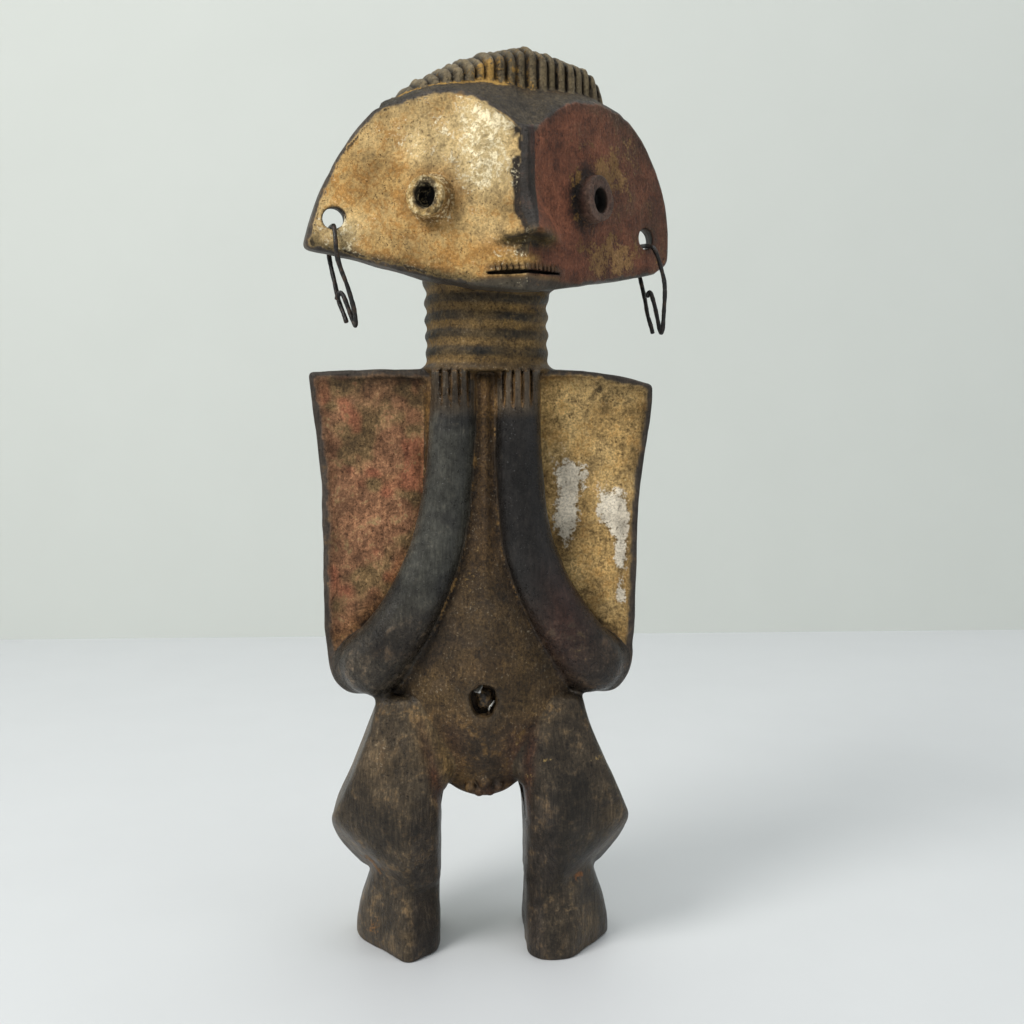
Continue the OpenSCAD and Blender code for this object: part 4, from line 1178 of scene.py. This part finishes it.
def carved_wood():
    """Hand-carved wood under worn clay paint, all its coats given point by point."""
    g = Graph("carved_wood")
    tint, tint2 = g.attribute("tint", "Color"), g.attribute("tint2", "Color")
    mottle, light, dark = g.attribute("mottle"), g.attribute("light"), g.attribute("dark")
    crust, grain = g.attribute("crust"), g.attribute("grain")
    broad = g.noise(9.0, 8.0, 0.70, twist=0.6)
    mid = g.noise(3.0, 7.0, 0.72, twist=0.4)
    fine = g.noise(1.1, 4.0, 0.70)
    streak = g.noise(1.1, 4.0, 0.65, stretch=(1.0, 1.0, 0.12))
    pits = g.cells(2.1)
    blotch = g.plus(g.times(broad, 0.55), g.times(mid, 0.45))
    amount = g.minus(0.74, g.times(mottle, 0.42))
    blend = g.span(blotch, g.minus(amount, 0.05), g.plus(amount, 0.05))
    colour = g.mix(blend, tint, tint2)
    # dirt of two sizes
    for pattern, low, high, least in ((broad, (0.52, 0.49, 0.45, 1), (1.42, 1.40, 1.34, 1), 0.4),
                                      (mid, (0.48, 0.45, 0.41, 1), (1.5, 1.47, 1.4, 1), 0.2),
                                      (fine, (0.6, 0.58, 0.55, 1), (1.4, 1.38, 1.34, 1), 0.15)):
        grit = g.mix(g.span(pattern, 0.36, 0.64), low, high)
        colour = g.mix(g.span(crust, 0.0, 1.0, least, 0.9), colour, g.darker(colour, grit))
    # streaks of the grain and of the brush, dark and bright
    lined = g.times(g.span(streak, 0.48, 0.60), g.times(grain, 0.5))
    colour = g.mix(lined, colour, g.darker(colour, (0.40, 0.38, 0.36, 1)))
    rubbed = g.times(g.span(streak, 0.46, 0.38), g.times(grain, 0.5))
    colour = g.mix(rubbed, colour, g.darker(colour, (1.9, 1.86, 1.75, 1)))
    # flakes with ragged edges
    edge = g.plus(g.times(g.minus(mid, 0.5), 1.1),
                  g.times(g.minus(fine, 0.5), 0.5))
    edge = g.plus(edge, g.times(g.minus(broad, 0.5), 0.9))
    flaked = g.span(g.plus(g.attribute("flakes"), edge), 0.44, 0.60)
    flaked = g.times(flaked, g.span(g.attribute("flakes"), 0.02, 0.2))
    flake = g.attribute("tint3", "Color")
    flake = g.darker(flake, g.mix(g.span(fine, 0.36, 0.6), (0.75, 0.73, 0.7, 1), (1.15, 1.14, 1.12, 1)))
    colour = g.mix(g.times(flaked, 0.88), colour, flake)
    # pale specks, where clay or wear catches
    speck = g.span(g.noise(1.1, 2.0, 0.7), g.minus(0.66, g.times(light, 0.16)), 0.70)
    speck = g.times(speck, g.span(broad, 0.46, 0.56))
    bright = g.mix(0.6, colour, (0.84, 0.76, 0.58, 1))
    colour = g.mix(g.times(speck, g.span(light, 0.0, 0.6)), colour, bright)
    # dark grains and soot in the pores
    soot = g.span(g.noise(1.2, 2.5, 0.7, twist=0.3), g.minus(0.64, g.times(dark, 0.16)), 0.67)
    soot = g.times(soot, g.span(broad, 0.60, 0.46))
    colour = g.mix(g.times(soot, 0.8), colour, g.darker(colour, (0.25, 0.22, 0.2, 1)))
    drift = g.mix(g.span(g.noise(20.0, 4.0, 0.6), 0.32, 0.68), (0.55, 0.53, 0.50, 1), (1.45, 1.43, 1.4, 1))
    colour = g.mix(0.7, colour, g.darker(colour, drift))
    rough = g.plus(g.attribute("rough"), g.times(g.minus(mid, 0.5), 0.6))
    g.surface(colour, g.plus(rough, g.times(flaked, 0.25), clamp=True))
    g.shader.inputs["Specular IOR Level"].default_value = 0.26
    lumps = g.plus(g.times(fine, 0.5), g.plus(g.times(mid, 0.8), broad))
    rise = g.times(lumps, g.times(crust, 0.8))
    rise = g.plus(rise, g.times(g.times(streak, grain), 0.25))
    rise = g.plus(rise, g.times(flaked, 0.12))
    rise = g.minus(rise, g.times(g.span(pits, 0.24, 0.05), g.times(dark, 0.5)))
    rise = g.minus(rise, g.times(soot, 0.15))
    g.bump(rise, 1.1, 1.0)
    return g.material


def black_wire():
    """Hammered iron wire, blackened, with a little brown rust."""
    g = Graph("black_wire")
    rust = g.span(g.noise(2.6, 4.0, 0.65), 0.5, 0.68)
    colour = g.mix(rust, (0.022, 0.021, 0.020, 1), (0.075, 0.048, 0.032, 1))
    worn = g.span(g.noise(1.0, 2.0, 0.6), 0.58, 0.7)
    colour = g.mix(g.times(worn, 0.5), colour, (0.11, 0.105, 0.10, 1))
    g.surface(colour, g.plus(0.36, g.times(rust, 0.3)))
    g.shader.inputs["Metallic"].default_value = 0.55
    g.bump(g.plus(g.noise(1.6, 3.0, 0.6), g.times(g.cells(2.2), 0.6)), 0.25, 0.7)
    return g.material


def old_resin():
    """The dark magical charge in the navel: resin with ochre dust on it."""
    g = Graph("old_resin")
    dust = g.span(g.noise(1.6, 4.0, 0.65), 0.46, 0.62)
    colour = g.mix(dust, (0.020, 0.014, 0.009, 1), (0.16, 0.10, 0.045, 1))
    g.surface(colour, g.plus(0.35, g.times(dust, 0.45)))
    g.bump(g.noise(1.1, 4.0, 0.65), 0.5, 0.9)
    return g.material


def pale_shell():
    """Slivers of shell or glass, pale with a wet gloss and darker streaks."""
    g = Graph("pale_shell")
    streak = g.span(g.noise(1.4, 3.0, 0.6, stretch=(1, 1, 0.4)), 0.42, 0.66)
    colour = g.mix(streak, (0.66, 0.66, 0.62, 1), (0.28, 0.25, 0.20, 1))
    g.surface(colour, g.plus(0.14, g.times(streak, 0.35)))
    g.shader.inputs["Coat Weight"].default_value = 0.5
    g.bump(g.noise(0.9, 2.0, 0.5), 0.15, 0.5)
    return g.material


# ---------------------------------------------------------------- the wood, one piece for each named region


def build_carving():
    points, quads, normals, region = carved_surface()
    paint = finish_skin(points, normals, carve(*points.T)[1])
    wood = carved_wood()
    placed = to_frame(points)
    for index, name in enumerate(REGIONS):
        mine = quads[region == index]
        used, faces = np.unique(mine, return_inverse=True)
        faces = faces.reshape(-1, 4)
        piece = add_mesh("carved_" + name, placed[used], faces, normals[used])
        for layer in (*Paint.TINTS, *Paint.BARE):
            put_attribute(piece, layer, getattr(paint, layer)[used])
        stand_for(piece, name, "figure", wood)


# ---------------------------------------------------------------- the navel's charge and slivers

SHARD_ROWS, SHARD_COLUMNS = 9, 15
SHARD_REACH = 5.2
# the lumps of the charge: across, back, height above the navel's middle, and radius
LUMPS = ((0.3, -25.6, 0.4, 3.6), (-1.4, -26.6, 2.6, 2.2), (1.2, -27.8, -1.6, 2.4), (-0.8, -27.4, -3.2, 1.9),
         (2.2, -26.2, 2.0, 1.8))


def navel_charge(height):
    """Packed lumps of dark resin in the navel."""
    low = np.array([-8.0, -37.0, height - 9])
    step = 0.5
    count = (np.array([16.0, 14.0, 18.0]) / step).astype(int)
    grid = np.meshgrid(*[low[a] + step * np.arange(count[a]) for a in range(3)], indexing="ij")
    x, y, z = (axis.ravel() for axis in grid)
    lumps = None
    for dx, dy, dz, r in LUMPS:
        ball = np.sqrt((x - dx) ** 2 + (y - dy) ** 2 + (z - height - dz) ** 2) - r
        lumps = ball if lumps is None else smooth_min(lumps, ball, 1.4)
    lumps = lumps + 0.45 * noise(x, y, z, 1.7, 61)
    points, quads = surface_net(lumps.reshape(grid[0].shape), low, step)
    return add_mesh("navel_resin", to_frame(points), quads)


def navel_shard(name, start, sweep, deep, height):
    """A curved pale sliver inside the hole, from start through sweep degrees, deep mm further in."""
    rows, columns = SHARD_ROWS, SHARD_COLUMNS
    points, faces = [], []
    for layer in (0, 1):
        for i in range(rows):
            for j in range(columns):
                s, t = j / (columns - 1), i / (rows - 1)
                angle = math.radians(start + sweep * s)
                ragged = 0.5 * math.sin(9 * s + start) + 0.3 * math.sin(23 * s)
                reach = SHARD_REACH - 0.75 * layer - 1.3 * t * math.sin(math.pi * s)
                depth = -27.0 - deep - (5.2 + ragged) * t * math.sin(math.pi * (0.12 + 0.8 * s))
                points.append((reach * math.cos(angle), depth, height + reach * 1.2 * math.sin(angle)))
    size = rows * columns
    for i in range(rows - 1):
        for j in range(columns - 1):
            a = i * columns + j
            faces.append((a, a + 1, a + columns + 1, a + columns))
            faces.append((a + size, a + size + columns, a + size + columns + 1, a + size + 1))
    rim = [*range(columns), *(i * columns + columns - 1 for i in range(1, rows)),
           *((rows - 1) * columns + j for j in range(columns - 2, -1, -1)),
           *(i * columns for i in range(rows - 2, 0, -1))]
    for a, b in zip(rim, rim[1:] + rim[:1]):
        faces.append((b, a, a + size, b + size))
    return add_mesh("sliver_" + name, to_frame(points), faces)


def navel_pieces():
    low, high = box_mm("navel_charge")
    height = (low[2] + high[2]) / 2
    stand_for(navel_charge(height), "navel_charge", "figure", old_resin())
    shell = pale_shell()
    for name, start, sweep, deep in (("upper", 92, 58, 0.0), ("lower", 296, 54, 0.6)):
        sliver = navel_shard(name, start, sweep, deep, height)
        stand_for(sliver, "navel_shard_" + name, "figure", shell)


# ---------------------------------------------------------------- the wire earrings

# points along each wire's middle, in the turned head's frame
RIGHT_WIRE = [
    (-68.9, -0.6, 290.2), (-68.6, -0.8, 291.8), (-67.6, -1.4, 293), (-66.4, -2.2, 291.6),
    (-65.2, -3.4, 288), (-63.8, -5, 283.4), (-62.8, -6, 280.2), (-62.2, -7.2, 278.8),
    (-62.3, -8.5, 280.4), (-62.8, -9, 284), (-63.9, -10, 288), (-66.4, -12.2, 295),
    (-69.2, -13, 302), (-70.9, -13.4, 308), (-71.2, -12.8, 314), (-71.4, -11.4, 318),
    (-71.4, -9, 320.1), (-71.3, -4, 320.5), (-71.2, 1.8, 320.4), (-71.1, 5.2, 319),
    (-71.1, 6.8, 315.4), (-71, 7.2, 310), (-70.2, 6, 304), (-69.2, 4, 298),
    (-67.8, 2.2, 290), (-65.9, -0.4, 283.5), (-65.1, -1.4, 280.5)]
LEFT_WIRE = [
    (75.4, -0.6, 294.8), (75.6, -0.8, 296.4), (76.4, -1.4, 297), (77.2, -2.2, 294.6),
    (78.2, -3.4, 289.6), (79, -4.6, 284), (79.6, -5.6, 279.6), (79.9, -6.8, 278),
    (80, -8, 279.8), (80, -8.8, 284), (79.9, -9.6, 289), (79.6, -11, 295),
    (78.6, -12.4, 301), (76.4, -13.2, 307.4), (74.8, -12.6, 312.8), (73.6, -10.8, 316),
    (72.8, -7.4, 317.2), (72.2, -2.6, 317.7), (72.4, 2.6, 317.6), (73.2, 6.2, 316.4),
    (74.3, 8.4, 312.4), (75.3, 8.8, 306), (76, 7, 300), (76.3, 4.2, 294),
    (76.6, 1.8, 287), (77.5, -0.6, 281), (78, -1.2, 278.2)]
WIRE_R = 1.0
WIRE_SIDES = 14
ROUTE_PARTS = 5  # points made for each stretch of a route


def smooth_route(route, parts):
    """More points between a route's points, on a curve through all of them."""
    p = np.array(route, float)
    p = np.vstack([2 * p[0] - p[1], p, 2 * p[-1] - p[-2]])
    out = []
    for i in range(1, len(p) - 2):
        for t in np.arange(parts) / parts:
            a, b, c, d = p[i - 1], p[i], p[i + 1], p[i + 2]
            square, cube = (2 * a - 5 * b + 4 * c - d) * t * t, (3 * b - a - 3 * c + d) * t ** 3
            out.append(0.5 * (2 * b + (c - a) * t + square + cube))
    out.append(p[-2])
    return np.array(out)


def wire_piece(name, route, seed):
    """A hammered wire along a route, its thickness wavering a little, with rounded ends."""
    u, v, z = smooth_route(route, ROUTE_PARTS).T
    x = u * math.cos(HEAD_TURN) - v * math.sin(HEAD_TURN) + HEAD_X
    y = u * math.sin(HEAD_TURN) + v * math.cos(HEAD_TURN)
    way = np.stack([x, y, z], 1)
    ahead = np.gradient(way, axis=0)
    ahead /= np.linalg.norm(ahead, axis=1)[:, None]
    side = np.cross(ahead[0], [0, 1, 0])
    side /= np.linalg.norm(side)
    rings = []
    count = len(way)
    along = np.concatenate([[0], np.cumsum(np.linalg.norm(np.diff(way, axis=0), axis=1))])
    for i in range(count):
        side = side - ahead[i] * (side @ ahead[i])
        side /= np.linalg.norm(side)
        other = np.cross(ahead[i], side)
        s = along[i]
        thick = WIRE_R * (1 + 0.05 * math.sin(s * 0.9 + seed) + 0.035 * math.sin(s * 2.3 + 2 * seed))
        flat = 0.08 * math.sin(s * 0.33 + seed)
        angles = 2 * math.pi * np.arange(WIRE_SIDES) / WIRE_SIDES
        rings.append(way[i] + np.outer(np.cos(angles) * thick * (1 + flat), side)
                     + np.outer(np.sin(angles) * thick * (1 - flat), other))
    ends = []
    for tip, into in ((0, 1), (count - 1, -1)):
        ring = rings[tip]
        middle = ring.mean(0)
        out = -ahead[tip] * into
        ends.append([middle + (ring - middle) * 0.8 + out * 0.22,
                     middle + (ring - middle) * 0.35 + out * 0.36])
    rings = [ends[0][1], ends[0][0], *rings, ends[1][0], ends[1][1]]
    points = np.concatenate(rings)
    faces = []
    for i in range(len(rings) - 1):
        for k in range(WIRE_SIDES):
            a, b = i * WIRE_SIDES + k, i * WIRE_SIDES + (k + 1) % WIRE_SIDES
            faces.append((a, b, b + WIRE_SIDES, a + WIRE_SIDES))
    faces.append(tuple(range(WIRE_SIDES - 1, -1, -1)))
    faces.append(tuple(range((len(rings) - 1) * WIRE_SIDES, len(rings) * WIRE_SIDES)))
    return add_mesh(name, to_frame(points), faces)


def earrings():
    wire = black_wire()
    for node, route, seed in (("right_earring", RIGHT_WIRE, 1.0), ("left_earring", LEFT_WIRE, 2.6)):
        stand_for(wire_piece("wire_" + node, route, seed), node, node, wire)


# ---------------------------------------------------------------- floor, light and camera


SENSOR_MM, FOCAL_PX, IMAGE_PX = 36.0, 1230.0, 1024.0
CAMERA_TURN, CAMERA_PITCH = math.radians(-3.0), math.radians(5.0)
CAMERA_AWAY, CAMERA_ASIDE, CAMERA_Z = 555.5, 14, 245.2
AIM = Vector((0, 0, 0.22))  # where the lights point, m


def camera():
    data = bpy.data.cameras.new("camera")
    data.sensor_width = SENSOR_MM
    data.lens = SENSOR_MM * FOCAL_PX / IMAGE_PX
    eye = bpy.data.objects.new("camera", data)
    bpy.context.scene.collection.objects.link(eye)
    ahead = Vector((-math.sin(CAMERA_TURN), math.cos(CAMERA_TURN), 0))
    right = Vector((math.cos(CAMERA_TURN), math.sin(CAMERA_TURN), 0))
    eye.location = (-ahead * CAMERA_AWAY + right * CAMERA_ASIDE + Vector((AXIS_X, AXIS_Y, CAMERA_Z))) * MM
    look = ahead * math.cos(CAMERA_PITCH) + Vector((0, 0, -math.sin(CAMERA_PITCH)))
    eye.rotation_euler = look.to_track_quat("-Z", "Y").to_euler()
    bpy.context.scene.camera = eye


BACKDROPS = (
    ("floor", "floor_paper", [(-3, -2, 0), (3, -2, 0), (3, 0.76, 0), (-3, 0.76, 0)],
     60.0, (0.66, 0.675, 0.685, 1), (0.69, 0.705, 0.715, 1), 0.5),
    ("wall", "wall_paint", [(-3, 0.75, -0.01), (3, 0.75, -0.01), (3, 0.75, 3), (-3, 0.75, 3)],
     90.0, (0.655, 0.68, 0.635, 1), (0.685, 0.71, 0.665, 1), 0.8))
LIGHTS = (("key", (-0.95, -0.75, 1.25), 0.7, 17.5, (1.0, 0.985, 0.96)),
          ("fill", (1.2, -0.9, 0.8), 1.2, 1.6, (0.93, 0.97, 1.0)),
          ("wall_wash", (0.55, 0.1, 1.9), 1.6, 10.0, (1.0, 1.0, 1.0)))


def studio():
    for name, paper, corners, size, low, high, rough in BACKDROPS:
        sheet = add_mesh(name, np.array(corners), [(0, 1, 2, 3)])
        g = Graph(paper)
        g.surface(g.mix(g.noise(size, 3.0, 0.5), low, high), rough)
        sheet.data.materials.append(g.material)
    world = bpy.data.worlds.new("studio")
    world.use_nodes = True
    sky = world.node_tree.nodes["Background"]
    sky.inputs["Color"].default_value = (0.93, 0.97, 1.0, 1)
    sky.inputs["Strength"].default_value = 0.52
    bpy.context.scene.world = world
    for name, place, size, power, tint in LIGHTS:
        data = bpy.data.lights.new(name, "AREA")
        data.shape = "DISK"
        data.size = size
        data.energy = power
        data.color = tint
        lamp = bpy.data.objects.new(name, data)
        bpy.context.scene.collection.objects.link(lamp)
        lamp.location = place
        lamp.rotation_euler = (AIM - Vector(place)).to_track_quat("-Z", "Y").to_euler()
    bpy.context.scene.view_settings.view_transform = "Standard"


camera()
studio()
build_carving()
navel_pieces()
earrings()
